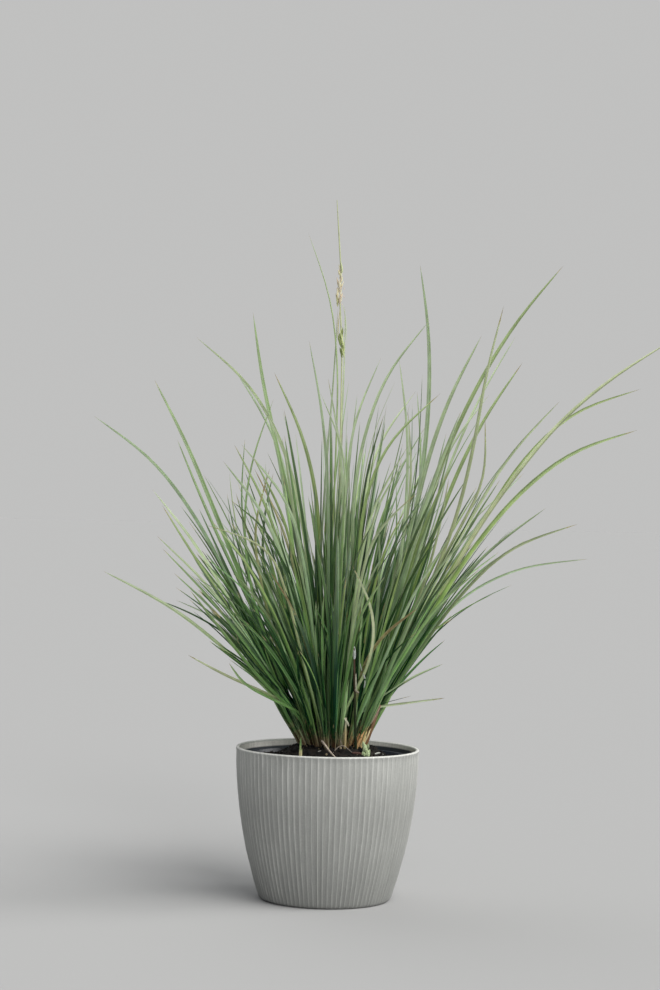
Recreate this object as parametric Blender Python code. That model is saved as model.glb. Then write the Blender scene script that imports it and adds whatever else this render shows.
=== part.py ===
"""A potted ornamental grass clump, at its real size, in metres with +Z up.

A grey cover pot stands flat on the ground with its axis on the Z axis. It holds a black
nursery pot full of potting mix, and out of the raised root ball grows a fan of grass
shoots. A shoot is one piece: a short sheath that parts into a few long blades.
"""
import math
import random

import bpy
import numpy as np
from mathutils import Euler, Vector, kdtree

# Cover pot
POT_HEIGHT = 0.115
RIM_RADIUS = 0.0700
WALL_TOP_RADIUS = 0.0696
FOOT_RADIUS = 0.0500
POT_WALL = 0.0026
POT_FLOOR = 0.0030
LIP_RADIUS = 0.0015
FOOT_ROUNDING = 0.0030
ROUND_MIDDLE = 1 - math.cos(math.radians(45))
POT_SIDES = 40
POT_WALL_RINGS = 5
POT_INSIDE_SHARES = (0.95, 0.5, 0.2)
LIP_RINGS = 5
CREASE_ANGLE = math.radians(40)

# Nursery pot, which stands on the cover pot's floor
GAP = 0.0003
NURSERY_FOOT_RADIUS = 0.0460
NURSERY_RIM_RADIUS = 0.0655
NURSERY_RIM_HEIGHT = 0.1085
NURSERY_WALL = 0.0012
NURSERY_SIDES = 32

# Potting mix with the raised root ball in its middle
MIX_EDGE_HEIGHT = 0.1055
MIX_EDGE_RADIUS = 0.0600
ROOT_BALL_RADIUS = 0.0330
ROOT_BALL_TOP = 0.1160
MIX_SLOPE_SHARES = (0.35, 0.7)
MIX_LUMP = 0.0004

# Crown: the places where shoots, dead stems and the flower stalk grow out of the root ball
CROWN_SLOTS = 54
STALK_SLOT = 0
CROWN_CENTRE = Vector((0.0045, 0.0))
CROWN_HALF_WIDTH = 0.0262
CROWN_HALF_DEPTH = 0.0255
GOLDEN_ANGLE = math.radians(137.508)
SHEATH_RADIUS = 0.0021
SHEATH_FOOT_RADIUS = 0.0017
SHEATH_LENGTHS = (0.014, 0.024)
SHEATH_LEAN = math.radians(30)
BLADES_PER_SHOOT = (4, 5)
SWAP_ROUNDS = 4
SECTORS = 6

# Blades: a blade that has leant LEAN_AT_HALF sideways at its middle grows halfway out on
# the crown. The first stretch above the sheath rises straight, a little outward. A blade is
# a long flat triangle across: its ridge stands RIDGE_SHARE of its thickness above its path.
LEAN_AT_HALF = 0.040
BLADE_THICKNESS = 0.0008
THIN_SHARE = 0.4
RIDGE_SHARE = 0.6
FOOT_WIDTH_SHARE = 0.75
TIP_POWERS = (4.0, 0.8)
FIRST_RISE = 0.009
FIRST_SPREAD = 0.0009
FIRST_SCALE = 0.85
FREE_ABOVE = 0.012
SEGMENT_LENGTH = 0.052
BLADE_SEGMENTS = (3, 7)
SPAN_STEPS = 12

# Blades that weren't read in the front view: how often each length and tone comes
BLADE_LENGTHS = ((0.09, 0.17), (0.17, 0.25), (0.25, 0.33))
LENGTH_WEIGHTS = (30, 45, 25)
FILL_TONES = ("green", "silver", "olive", "straw", "brown")
TONE_WEIGHTS = (45, 27, 13, 9, 6)
FILL_WIDTHS = (0.0020, 0.0030)
FILL_STEPS = 12
FILL_TURN = 0.20
FILL_REACH = 0.80
FILL_HALF_HEIGHT = 0.15
FILL_LEAN_SPREAD = (0.88, 1.14)
FILL_ARCH = (0.65, 0.85, 1.3)
FILL_TRIES = 12
FILL_LEAST = 5
SIDEWAYS_SHORTER = 0.3
SEED = 11

# Room that each piece keeps around its middle line; a stem's room is outside its radius
BLADE_ROOM = 0.0019
SHEATH_ROOM = 0.0025
STEM_ROOM = 0.0005
POST_SAMPLES = 9
SAMPLE_STEP = 0.0025
SPREAD_STEPS = 70
PUSH_SHARE = 0.6
FACE_ON_SHARE = 0.35
NEIGHBOUR_SHARE = 0.3

# The front view that the blades' paths were read in
VIEW_PIXELS = (660, 990)
VIEW_FOCAL = 2200.0
VIEW_PLACE = Vector((-0.0022, -1.68, 0.2921))
VIEW_UPWARD = math.radians(0.52)
VIEW_ROLL = math.radians(-1.3)
SOIL_ROW = 745
DEPTH_EASE = 1.2

# The dense body of the clump in the front view, which the other blades stay inside: rows of
# pixels from the top down, and the first and last column at each
BODY_ROWS = (395, 440, 500, 540, 580, 620, 660, 700, 750)
BODY_LEFT = (290, 262, 222, 194, 192, 208, 236, 262, 290)
BODY_RIGHT = (415, 440, 466, 478, 460, 442, 418, 396, 374)

TONES = {
    "silver": (0.36, 0.42, 0.31),
    "green": (0.12, 0.20, 0.08),
    "olive": (0.30, 0.32, 0.08),
    "straw": (0.52, 0.42, 0.22),
    "brown": (0.30, 0.14, 0.06),
}

# Each blade is its tone, its width and its tip's depth behind the pot's axis, in metres,
# then its path in pixels of the front view, from the tip down.
LEFT_BLADES = [
    ("silver", 0.0031, -0.030, [(94, 416), (125, 434), (160, 466), (197, 518), (227, 577), (262, 650)]),
    ("green", 0.0028, 0.020, [(152, 489), (170, 508), (190, 535), (222, 588), (248, 630), (275, 690)]),
    ("olive", 0.0026, 0.060, [(162, 505), (169, 527), (190, 551), (205, 570), (240, 625)]),
    ("silver", 0.0024, -0.060, [(157, 536), (180, 556), (208, 583), (240, 630)]),
    ("green", 0.0021, -0.078, [(163, 548), (187, 569), (214, 600)]),
    ("green", 0.0037, 0.045, [(154, 379), (176, 421), (201, 474), (219, 523), (255, 610)]),
    ("green", 0.0028, 0.085, [(177, 439), (192, 477), (213, 524), (238, 580)]),
    ("silver", 0.0028, -0.020, [(103, 571), (140, 588), (180, 611), (220, 643), (272, 708)]),
    ("straw", 0.0024, -0.045, [(188, 655), (220, 673), (256, 696), (280, 724)]),
    ("green", 0.0023, -0.070, [(229, 663), (241, 683), (262, 710)]),
    ("green", 0.0023, 0.035, [(174, 573), (208, 604), (240, 637), (265, 685)]),
    ("silver", 0.0017, 0.095, [(176, 600), (205, 604), (235, 630)]),
    ("green", 0.0024, -0.090, [(190, 590), (220, 629), (248, 660), (272, 700)]),
    ("silver", 0.0030, -0.080, [(223, 461), (250, 496), (280, 536), (292, 590)]),
    ("olive", 0.0026, -0.050, [(234, 444), (247, 466), (270, 512), (285, 560)]),
    ("green", 0.0017, 0.060, [(245, 438), (241, 465), (240, 500), (246, 560)]),
    ("green", 0.0019, -0.030, [(274, 398), (256, 440), (243, 510), (248, 580), (268, 650)]),
    ("straw", 0.0021, -0.070, [(270, 468), (259, 492), (252, 537), (262, 590), (280, 660)]),
    ("silver", 0.0031, 0.020, [(196, 337), (225, 357), (258, 394), (285, 447), (300, 505), (310, 560)]),
    ("silver", 0.0028, 0.070, [(233, 367), (264, 411), (279, 452), (296, 520)]),
    ("green", 0.0038, 0.060, [(253, 312), (256, 345), (269, 413), (287, 490), (298, 550), (310, 640)]),
    ("olive", 0.0033, -0.020, [(274, 372), (293, 408), (310, 455), (317, 490), (320, 560)]),
    ("silver", 0.0026, -0.095, [(241, 444), (272, 469), (293, 510), (306, 570)]),
    ("olive", 0.0024, -0.120, [(252, 455), (274, 493), (289, 530), (300, 590)]),
    ("brown", 0.0023, 0.100, [(254, 468), (271, 500), (282, 525), (298, 580)]),
    ("straw", 0.0021, -0.130, [(206, 525), (232, 524), (250, 529), (264, 538), (285, 575)]),
    ("brown", 0.0021, -0.110, [(270, 570), (290, 600), (306, 650)]),
]
MIDDLE_BLADES = [
    ("straw", 0.0014, -0.040, [(308, 232), (320, 265), (334, 312), (338, 400)]),
    ("silver", 0.0026, 0.030, [(309, 340), (313, 360), (320, 392), (326, 450), (329, 540)]),
    ("silver", 0.0023, -0.045, [(328, 378), (334, 405), (340, 442), (344, 520)]),
    ("green", 0.0021, -0.070, [(320, 392), (334, 418), (346, 470)]),
    ("green", 0.0016, 0.015, [(338, 308), (336, 350), (328, 450), (324, 560)]),
    ("green", 0.0016, 0.045, [(345, 305), (346, 340), (341, 430), (338, 540)]),
    ("green", 0.0024, 0.050, [(381, 358), (372, 380), (354, 418), (346, 480)]),
    ("green", 0.0028, -0.020, [(430, 320), (402, 346), (382, 383), (363, 437), (352, 520)]),
    ("silver", 0.0026, -0.060, [(399, 358), (408, 412), (407, 500), (402, 555), (388, 640)]),
    ("silver", 0.0026, 0.040, [(416, 391), (389, 427), (376, 447), (362, 510)]),
    ("green", 0.0021, 0.075, [(417, 391), (421, 425), (421, 475), (410, 560)]),
    ("olive", 0.0026, -0.070, [(441, 393), (408, 419), (374, 462), (358, 540)]),
    ("straw", 0.0024, -0.040, [(408, 411), (414, 425), (413, 450), (411, 490), (404, 540)]),
    ("green", 0.0040, 0.055, [(420, 264), (430, 340), (428, 425), (416, 515), (396, 610)]),
    ("silver", 0.0024, -0.100, [(408, 446), (380, 490), (368, 520), (355, 590)]),
    ("green", 0.0021, -0.085, [(408, 455), (382, 494), (366, 545)]),
    ("silver", 0.0023, -0.110, [(352, 565), (371, 593), (375, 608), (374, 640), (366, 690)]),
    ("silver", 0.0023, -0.095, [(384, 553), (366, 580), (352, 630)]),
    ("green", 0.0023, -0.120, [(385, 576), (360, 612), (350, 660)]),
    ("straw", 0.0023, -0.130, [(418, 492), (398, 500), (379, 522), (362, 570)]),
    ("brown", 0.0026, -0.080, [(418, 608), (393, 625), (370, 650), (358, 680)]),
]
RIGHT_BLADES = [
    ("silver", 0.0038, -0.040, [(482, 335), (455, 385), (433, 440), (410, 535), (388, 630)]),
    ("olive", 0.0035, 0.030, [(564, 265), (525, 309), (490, 362), (465, 409), (435, 478), (408, 560)]),
    ("straw", 0.0030, -0.070, [(504, 305), (488, 345), (483, 400), (462, 500), (448, 540), (420, 610)]),
    ("brown", 0.0026, -0.100, [(485, 418), (493, 452), (483, 487), (465, 520), (432, 580)]),
    ("silver", 0.0023, 0.080, [(516, 336), (486, 385), (465, 430), (440, 490)]),
    ("olive", 0.0033, -0.020, [(523, 362), (487, 413), (458, 470), (448, 500), (420, 570)]),
    ("green", 0.0024, 0.065, [(489, 395), (463, 425), (440, 470)]),
    ("silver", 0.0038, -0.085, [(461, 411), (442, 458), (413, 540), (395, 610)]),
    ("silver", 0.0028, -0.060, [(560, 401), (522, 436), (490, 485), (471, 518), (430, 590)]),
    ("olive", 0.0033, 0.040, [(641, 389), (600, 398), (560, 419), (525, 455), (497, 500), (450, 570)]),
    ("green", 0.0033, -0.010, [(676, 338), (640, 358), (594, 391), (556, 425), (493, 505), (445, 585)]),
    ("olive", 0.0038, -0.035, [(638, 430), (590, 441), (550, 466), (512, 499), (480, 538), (440, 600)]),
    ("silver", 0.0026, -0.075, [(546, 508), (510, 532), (470, 568), (430, 620)]),
    ("brown", 0.0026, -0.055, [(578, 524), (540, 525), (512, 544), (480, 574), (445, 612), (410, 665)]),
    ("green", 0.0019, 0.060, [(526, 540), (500, 553), (460, 590)]),
    ("silver", 0.0021, 0.025, [(588, 559), (530, 563), (478, 584), (440, 614), (405, 665)]),
    ("brown", 0.0021, 0.090, [(499, 552), (470, 572), (440, 600)]),
    ("silver", 0.0024, 0.105, [(500, 495), (475, 515), (450, 545)]),
    ("silver", 0.0023, -0.095, [(480, 523), (458, 538), (430, 575)]),
    ("green", 0.0023, 0.080, [(524, 473), (500, 497), (470, 535)]),
    ("silver", 0.0021, -0.110, [(450, 537), (430, 560), (410, 600)]),
    ("green", 0.0021, -0.090, [(480, 569), (455, 585), (425, 620)]),
    ("green", 0.0021, -0.020, [(443, 664), (415, 675), (392, 690)]),
    ("straw", 0.0019, -0.030, [(445, 698), (417, 703), (397, 716), (378, 731)]),
    ("straw", 0.0023, -0.055, [(449, 478), (444, 520), (432, 555), (412, 620)]),
    ("olive", 0.0028, -0.030, [(449, 470), (437, 490), (417, 545), (396, 620)]),
]

# Flower stalk, read in the same view: its depth, its path from the tip down, and for each
# tuft of spikelets its top row, its bottom row, how many swellings it has and their radius
STALK_DEPTH = 0.006
STALK_PATH = [
    (337, 200), (339, 235), (341, 270), (340, 306), (342, 345), (341, 430), (337, 560), (334, 700),
]
STALK_RADII = (0.0005, 0.0010)
STALK_SIDES = 5
STALK_ROWS = (235, 318, 380, 460, 540, 620, 690)
SPIKELETS = [(268, 283, 2, 0.0016), (283, 307, 3, 0.0032), (331, 358, 4, 0.0019)]
SPIKELET_PEAK = 0.6

# Dead stems at the front of the crown: the slot, the tone, the pixel of the broken top in
# the front view, the top's depth and the stem's radius. A young shoot stands by itself in
# front of the root ball: the place of its foot comes in the place of the slot.
DEAD_STEMS = [
    (52, "brown", (354, 648), -0.054, 0.0017),
    (47, "brown", (380, 705), -0.012, 0.0014),
    (44, "straw", (346, 718), -0.0295, 0.0015),
]
YOUNG_SHOOT = (Vector((-0.0205, -0.0530, 0.1090)), "green", (301, 737), -0.0525, 0.0010)
STEM_MIDDLE = 0.6
STEM_TAPER = (1.0, 0.9, 0.6)


def view_turn():
    """Rotation of the front view, which looks along +Y, slightly upward and rolled."""
    return Euler((math.pi / 2 + VIEW_UPWARD, VIEW_ROLL, 0.0)).to_matrix()


def at_pixel(pixel, depth):
    """Point in metres that the front view shows at a pixel, at a depth behind the axis."""
    across = pixel[0] - VIEW_PIXELS[0] / 2
    up = VIEW_PIXELS[1] / 2 - pixel[1]
    ray = view_turn() @ Vector((across, up, -VIEW_FOCAL))
    return VIEW_PLACE + ray * ((depth - VIEW_PLACE.y) / ray.y)


def front_pixel(point):
    """Pixel of the front view that shows a point."""
    seen = view_turn().transposed() @ (point - VIEW_PLACE)
    scale = VIEW_FOCAL / -seen.z
    return VIEW_PIXELS[0] / 2 + seen.x * scale, VIEW_PIXELS[1] / 2 - seen.y * scale


def in_body(point):
    """Whether the front view shows a point within the dense body of the clump."""
    column, row = front_pixel(point)
    left = np.interp(row, BODY_ROWS, BODY_LEFT)
    right = np.interp(row, BODY_ROWS, BODY_RIGHT)
    return row > BODY_ROWS[0] and left < column < right


def clear_objects():
    for thing in list(bpy.data.objects):
        bpy.data.objects.remove(thing, do_unlink=True)


def material(name, colour, roughness):
    finish = bpy.data.materials.new(name)
    finish.use_nodes = True
    shader = finish.node_tree.nodes["Principled BSDF"]
    shader.inputs["Base Color"].default_value = (*colour, 1.0)
    shader.inputs["Roughness"].default_value = roughness
    shader.inputs["Metallic"].default_value = 0.0
    return finish


def add_object(name, points, faces, finish):
    mesh = bpy.data.meshes.new(name)
    mesh.from_pydata([tuple(point) for point in points], [], faces)
    mesh.materials.append(finish)
    mesh.validate()
    thing = bpy.data.objects.new(name, mesh)
    bpy.context.scene.collection.objects.link(thing)
    return thing


def turned(name, profile, sides, finish, lump=None):
    """Solid turned about the Z axis from (radius, height) points, axis to axis, bottom first."""
    points = []
    rings = []
    for radius, height in profile:
        count = 1 if radius == 0 else sides
        rings.append(range(len(points), len(points) + count))
        for side in range(count):
            angle = math.tau * side / sides
            rise = lump(height, angle) if lump else 0.0
            points.append((radius * math.cos(angle), radius * math.sin(angle), height + rise))
    faces = []
    for below, above in zip(rings, rings[1:]):
        for side in range(sides):
            after = (side + 1) % sides
            if len(below) == 1:
                faces.append((below[0], above[after], above[side]))
            elif len(above) == 1:
                faces.append((below[side], below[after], above[0]))
            else:
                faces.append((below[side], below[after], above[after], above[side]))
    thing = add_object(name, points, faces, finish)
    thing.data.shade_smooth()
    thing.data.set_sharp_from_angle(angle=CREASE_ANGLE)
    return thing


def pot_radius(height):
    """Outer radius of the cover pot's wall, a gentle curve that widens upwards."""
    share = 1 - height / POT_HEIGHT
    return WALL_TOP_RADIUS - (WALL_TOP_RADIUS - FOOT_RADIUS) * share ** 2


def make_cover_pot():
    lip_height = POT_HEIGHT - LIP_RADIUS
    lip_centre = RIM_RADIUS - LIP_RADIUS
    wall_top = lip_height - LIP_RADIUS
    profile = [(0, 0), (pot_radius(0) - FOOT_ROUNDING, 0)]
    profile.append((pot_radius(0) - FOOT_ROUNDING * ROUND_MIDDLE, FOOT_ROUNDING * ROUND_MIDDLE))
    for ring in range(POT_WALL_RINGS):
        height = FOOT_ROUNDING + (wall_top - FOOT_ROUNDING) * ring / (POT_WALL_RINGS - 1)
        profile.append((pot_radius(height), height))
    for ring in range(LIP_RINGS):
        angle = math.pi * ring / (LIP_RINGS - 1)
        radius = lip_centre + LIP_RADIUS * math.cos(angle)
        profile.append((radius, lip_height + LIP_RADIUS * math.sin(angle)))
    for share in POT_INSIDE_SHARES:
        height = POT_FLOOR + (wall_top - POT_FLOOR) * share
        profile.append((pot_radius(height) - POT_WALL, height))
    profile.append((pot_radius(POT_FLOOR) - POT_WALL, POT_FLOOR))
    profile.append((0, POT_FLOOR))
    return turned("cover_pot", profile, POT_SIDES, material("pot_grey", (0.36, 0.37, 0.36), 0.55))


def make_nursery_pot():
    foot = POT_FLOOR + GAP
    inner_rim = NURSERY_RIM_RADIUS - NURSERY_WALL
    profile = [
        (0, foot),
        (NURSERY_FOOT_RADIUS, foot),
        (NURSERY_RIM_RADIUS, NURSERY_RIM_HEIGHT),
        (inner_rim, NURSERY_RIM_HEIGHT),
        (NURSERY_FOOT_RADIUS - NURSERY_WALL, foot + NURSERY_WALL),
        (0, foot + NURSERY_WALL),
    ]
    finish = material("nursery_black", (0.012, 0.014, 0.02), 0.4)
    return turned("nursery_pot", profile, NURSERY_SIDES, finish)


def make_potting_mix():
    foot = POT_FLOOR + NURSERY_WALL + 2 * GAP
    foot_radius = NURSERY_FOOT_RADIUS - NURSERY_WALL - 3 * GAP

    def lump(height, angle):
        if not MIX_EDGE_HEIGHT < height < ROOT_BALL_TOP:
            return 0.0
        return MIX_LUMP * (math.sin(5 * angle) + math.sin(11 * angle + 1))

    profile = [(0, foot), (foot_radius, foot), (MIX_EDGE_RADIUS, MIX_EDGE_HEIGHT)]
    for share in MIX_SLOPE_SHARES:
        radius = MIX_EDGE_RADIUS + (ROOT_BALL_RADIUS - MIX_EDGE_RADIUS) * share
        profile.append((radius, MIX_EDGE_HEIGHT + (ROOT_BALL_TOP - MIX_EDGE_HEIGHT) * share))
    profile += [(ROOT_BALL_RADIUS, ROOT_BALL_TOP), (0, ROOT_BALL_TOP)]
    finish = material("mix_dark", (0.03, 0.022, 0.016), 0.95)
    return turned("potting_mix", profile, NURSERY_SIDES, finish, lump)


def crown_slot(number):
    """A place on the crown, spread as seeds are on a sunflower's head; its rim is at 1."""
    share = math.sqrt((number + 0.5) / CROWN_SLOTS)
    angle = number * GOLDEN_ANGLE
    return Vector((share * math.cos(angle), share * math.sin(angle)))


def shoot_feet():
    """The slots that are left to the shoots."""
    taken = {STALK_SLOT} | {stem[0] for stem in DEAD_STEMS}
    return [crown_slot(number) for number in range(CROWN_SLOTS) if number not in taken]


def foot_place(foot):
    x = CROWN_CENTRE.x + foot.x * CROWN_HALF_WIDTH
    y = CROWN_CENTRE.y + foot.y * CROWN_HALF_DEPTH
    return Vector((x, y, ROOT_BALL_TOP + GAP))


def sheath_axis(foot):
    """Direction in which a shoot leaves the soil: the outer ones lean outwards."""
    lean = SHEATH_LEAN * foot.length
    outward = foot.normalized() if foot.length > 0 else Vector((1.0, 0.0))
    return Vector((outward.x * math.sin(lean), outward.y * math.sin(lean), math.cos(lean)))


def home_of(points):
    """Where on the crown a blade grows, from how far it has leant at its middle."""
    middle = points[len(points) // 2]
    lean = Vector((middle.x - CROWN_CENTRE.x, middle.y - CROWN_CENTRE.y))
    return lean / (lean.length + LEAN_AT_HALF)


def read_blades():
    blades = []
    for tone, width, tip_depth, path in LEFT_BLADES + MIDDLE_BLADES + RIGHT_BLADES:
        points = []
        top = path[0][1]
        for pixel in path:
            risen = (SOIL_ROW - pixel[1]) / (SOIL_ROW - top)
            points.append(at_pixel(pixel, tip_depth * min(1.0, risen) ** DEPTH_EASE))
        points.reverse()
        blades.append({"tone": tone, "width": width, "points": points, "read": True})
    return blades


def house_blades(blades, feet):
    """Gives each blade that was read to a shoot near its home, none to a shoot that is full."""
    homes = [home_of(blade["points"]) for blade in blades]
    pairs = [
        ((feet[number] - home).length, index, number)
        for index, home in enumerate(homes)
        for number in range(len(feet))
    ]
    room = [BLADES_PER_SHOOT[1]] * len(feet)
    for _, index, number in sorted(pairs):
        if "shoot" not in blades[index] and room[number] > 0:
            blades[index]["shoot"] = number
            room[number] -= 1
    for _ in range(SWAP_ROUNDS):
        for one, home in zip(blades, homes):
            for other, other_home in zip(blades, homes):
                here, there = feet[one["shoot"]], feet[other["shoot"]]
                kept = (here - home).length_squared + (there - other_home).length_squared
                swapped = (there - home).length_squared + (here - other_home).length_squared
                if swapped < kept:
                    one["shoot"], other["shoot"] = other["shoot"], one["shoot"]


def chance_path(aim, start, chance):
    """A path of a seeded chance shape that arches outwards, about as its shoot aims."""
    reach = min(aim.length, FILL_REACH)
    turn = math.atan2(aim.y, aim.x) + chance.uniform(-FILL_TURN, FILL_TURN)
    lean = math.atan2(LEAN_AT_HALF * reach / (1 - reach), FILL_HALF_HEIGHT)
    lean *= chance.uniform(*FILL_LEAN_SPREAD)
    span = chance.choices(BLADE_LENGTHS, LENGTH_WEIGHTS)[0]
    length = chance.uniform(*span) * (1 - SIDEWAYS_SHORTER * abs(math.cos(turn)) * reach)
    at_foot, growth, arch = FILL_ARCH
    place = start.copy()
    points = []
    for step in range(FILL_STEPS):
        angle = lean * (at_foot + growth * (step / FILL_STEPS) ** arch)
        outward = math.sin(angle)
        heading = Vector((math.cos(turn) * outward, math.sin(turn) * outward, math.cos(angle)))
        place = place + heading * (length / FILL_STEPS)
        points.append(place)
    return points


def grow_blade(aim, start, chance):
    """A blade that wasn't read: the chance path that leaves the body of the clump least."""
    points = []
    for _ in range(FILL_TRIES):
        path = chance_path(aim, start, chance)
        inside = next((step for step, point in enumerate(path) if not in_body(point)), len(path))
        inside = max(inside, FILL_LEAST)
        if path_length(path[:inside]) > path_length(points):
            points = path[:inside]
        if inside == len(path):
            break
    tone = chance.choices(FILL_TONES, TONE_WEIGHTS)[0]
    return {"tone": tone, "width": chance.uniform(*FILL_WIDTHS), "points": points, "read": False}


def smooth_path(points, count):
    """Evenly spaced points, count of them after the first, on a smooth curve through points."""
    knots = [points[0] * 2 - points[1]] + list(points) + [points[-1] * 2 - points[-2]]
    fine = []
    for before, start, end, after in zip(knots, knots[1:], knots[2:], knots[3:]):
        for step in range(SPAN_STEPS):
            t = step / SPAN_STEPS
            slope_in = (end - before) / 2
            slope_out = (after - start) / 2
            fine.append(
                start * (2 * t ** 3 - 3 * t ** 2 + 1)
                + slope_in * (t ** 3 - 2 * t ** 2 + t)
                + end * (3 * t ** 2 - 2 * t ** 3)
                + slope_out * (t ** 3 - t ** 2)
            )
    fine.append(points[-1].copy())
    fine = np.array(fine)
    run = np.concatenate([[0.0], np.cumsum(np.linalg.norm(np.diff(fine, axis=0), axis=1))])
    marks = np.linspace(0.0, run[-1], count + 1)
    return np.stack([np.interp(marks, run, fine[:, axis]) for axis in range(3)], axis=1)


def path_length(points):
    return sum((after - before).length for before, after in zip(points, points[1:]))


def share_sectors(blades):
    """Gives each blade of one shoot its own sector of the sheath, in their order around it."""
    middles = [blade["points"][len(blade["points"]) // 2] for blade in blades]
    centre = sum(middles, Vector()) / len(middles)
    turns = [math.atan2(middle.y - centre.y, middle.x - centre.x) for middle in middles]
    order = sorted(range(len(blades)), key=lambda number: turns[number])

    def sectors_from(offset):
        steps = [round(rank * SECTORS / len(order)) for rank in range(len(order))]
        return [(offset + step) % SECTORS for step in steps]

    def misfit(offset):
        given = [math.tau * (sector + 0.5) / SECTORS for sector in sectors_from(offset)]
        return sum(1 - math.cos(turns[number] - angle) for number, angle in zip(order, given))

    best = min(range(SECTORS), key=misfit)
    for number, sector in zip(order, sectors_from(best)):
        blades[number]["sector"] = sector


def grow_shoots():
    """All shoots, each with its sheath and its blades as smooth paths."""
    chance = random.Random(SEED)
    feet = shoot_feet()
    read = read_blades()
    house_blades(read, feet)
    shoots = []
    for number, foot in enumerate(feet):
        base = foot_place(foot)
        axis = sheath_axis(foot)
        top = base + axis * chance.uniform(*SHEATH_LENGTHS)
        blades = [blade for blade in read if blade["shoot"] == number]
        aims = [home_of(blade["points"]) for blade in blades] or [foot]
        aim = sum(aims, Vector((0.0, 0.0))) / len(aims)
        wanted = chance.randint(*BLADES_PER_SHOOT)
        while len(blades) < wanted:
            blades.append(grow_blade(aim, top, chance))
        share_sectors(blades)
        for blade in blades:
            angle = math.tau * (blade["sector"] + 0.5) / SECTORS
            outward = across_axis(axis, angle)
            centroid = SHEATH_RADIUS * math.cos(math.pi / SECTORS) * 2 / 3
            blade["root"] = top + outward * centroid
            blade["first"] = blade["root"] + axis * FIRST_RISE + outward * FIRST_SPREAD
            above = [point for point in blade["points"] if point.z > blade["first"].z + FREE_ABOVE]
            knots = [blade["first"]] + (above or blade["points"][-1:])
            count = round(path_length(knots) / SEGMENT_LENGTH)
            count = max(BLADE_SEGMENTS[0], min(BLADE_SEGMENTS[1], count))
            blade["path"] = smooth_path(knots, count)
        shoots.append({"base": base, "axis": axis, "top": top, "blades": blades})
    return shoots


def across_axis(axis, angle):
    """Unit vector across a leaning axis, at an angle around it that starts from +X."""
    side_x = Vector((0.0, 1.0, 0.0)).cross(axis).normalized()
    side_y = axis.cross(side_x)
    return side_x * math.cos(angle) + side_y * math.sin(angle)


def spread_apart(shoots, posts):
    """Bends the blades gently away from one another and from the posts until none touch.

    A post is a point that stays where it is, with the number of its shoot and its room.
    """
    strands = [(number, blade) for number, shoot in enumerate(shoots) for blade in shoot["blades"]]
    reach = BLADE_ROOM + max(post[2] for post in posts)
    for _ in range(SPREAD_STEPS):
        owners = []
        places = []
        for index, (_, blade) in enumerate(strands):
            path = blade["path"]
            for segment in range(len(path) - 1):
                length = np.linalg.norm(path[segment + 1] - path[segment])
                pieces = max(1, round(length / SAMPLE_STEP))
                for piece in range(pieces + (segment == len(path) - 2)):
                    t = piece / pieces
                    owners.append((index, segment, t))
                    places.append(path[segment] * (1 - t) + path[segment + 1] * t)
        tree = kdtree.KDTree(len(places) + len(posts))
        for number, place in enumerate(places + [post[1] for post in posts]):
            tree.insert(place, number)
        tree.balance()
        pushes = [np.zeros_like(blade["path"]) for _, blade in strands]
        weights = [np.zeros(len(blade["path"])) for _, blade in strands]
        touching = False
        for number, (index, segment, t) in enumerate(owners):
            shoot, blade = strands[index]
            for place, other, distance in tree.find_range(places[number], reach):
                if other >= len(places):
                    post = posts[other - len(places)]
                    wanted = 0.0 if post[0] == shoot else BLADE_ROOM + post[2]
                else:
                    other_index, other_segment, other_t = owners[other]
                    wanted = 0.0 if other_index == index else 2 * BLADE_ROOM
                    if strands[other_index][0] == shoot:
                        wanted *= min(1.0, segment + t, other_segment + other_t)
                if distance >= wanted or distance == 0.0:
                    continue
                touching = True
                away = (places[number] - np.array(place)) / distance * (wanted - distance) * PUSH_SHARE
                if blade["read"]:
                    away *= (FACE_ON_SHARE, 1.0, FACE_ON_SHARE)
                    away[1] += math.copysign((wanted - distance) * PUSH_SHARE / 2, away[1])
                for corner, share in ((segment, 1 - t), (segment + 1, t)):
                    pushes[index][corner] += away * share
                    weights[index][corner] += share
        if not touching:
            break
        for (_, blade), push, weight in zip(strands, pushes, weights):
            move = push / np.maximum(weight, 1.0)[:, None]
            move[0] = 0.0
            blade["path"][1:-1] += move[1:-1] + NEIGHBOUR_SHARE * (move[:-2] + move[2:])
            blade["path"][-1] += move[-1]


def blade_width(width, share):
    """Width of a blade at a share of its length: narrower at its foot, pointed at the tip."""
    inner, outer = TIP_POWERS
    return width * min(1.0, FOOT_WIDTH_SHARE + share) * (1 - share ** inner) ** outer


def blade_rings(blade, ring, points):
    """Adds a blade's points above one sector of the sheath and returns its rings of three."""
    shift = blade["first"] - blade["root"]
    rings = [ring]
    new = len(points)
    for corner in ring:
        points.append(blade["root"] + (points[corner] - blade["root"]) * FIRST_SCALE + shift)
    rings.append((new, new + 1, new + 2))
    across = (points[ring[2]] - points[ring[1]]).normalized()
    path = [Vector(point) for point in blade["path"]]
    for step in range(1, len(path) - 1):
        along = (path[step + 1] - path[step - 1]).normalized()
        across = (across - along * across.dot(along)).normalized()
        ridge = along.cross(across)
        width = blade_width(blade["width"], step / (len(path) - 1))
        thickness = BLADE_THICKNESS * (THIN_SHARE + (1 - THIN_SHARE) * width / blade["width"])
        edge_line = path[step] - ridge * thickness * (1 - RIDGE_SHARE)
        new = len(points)
        points.append(path[step] + ridge * thickness * RIDGE_SHARE)
        points.append(edge_line - across * width / 2)
        points.append(edge_line + across * width / 2)
        rings.append((new, new + 1, new + 2))
    return rings


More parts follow.
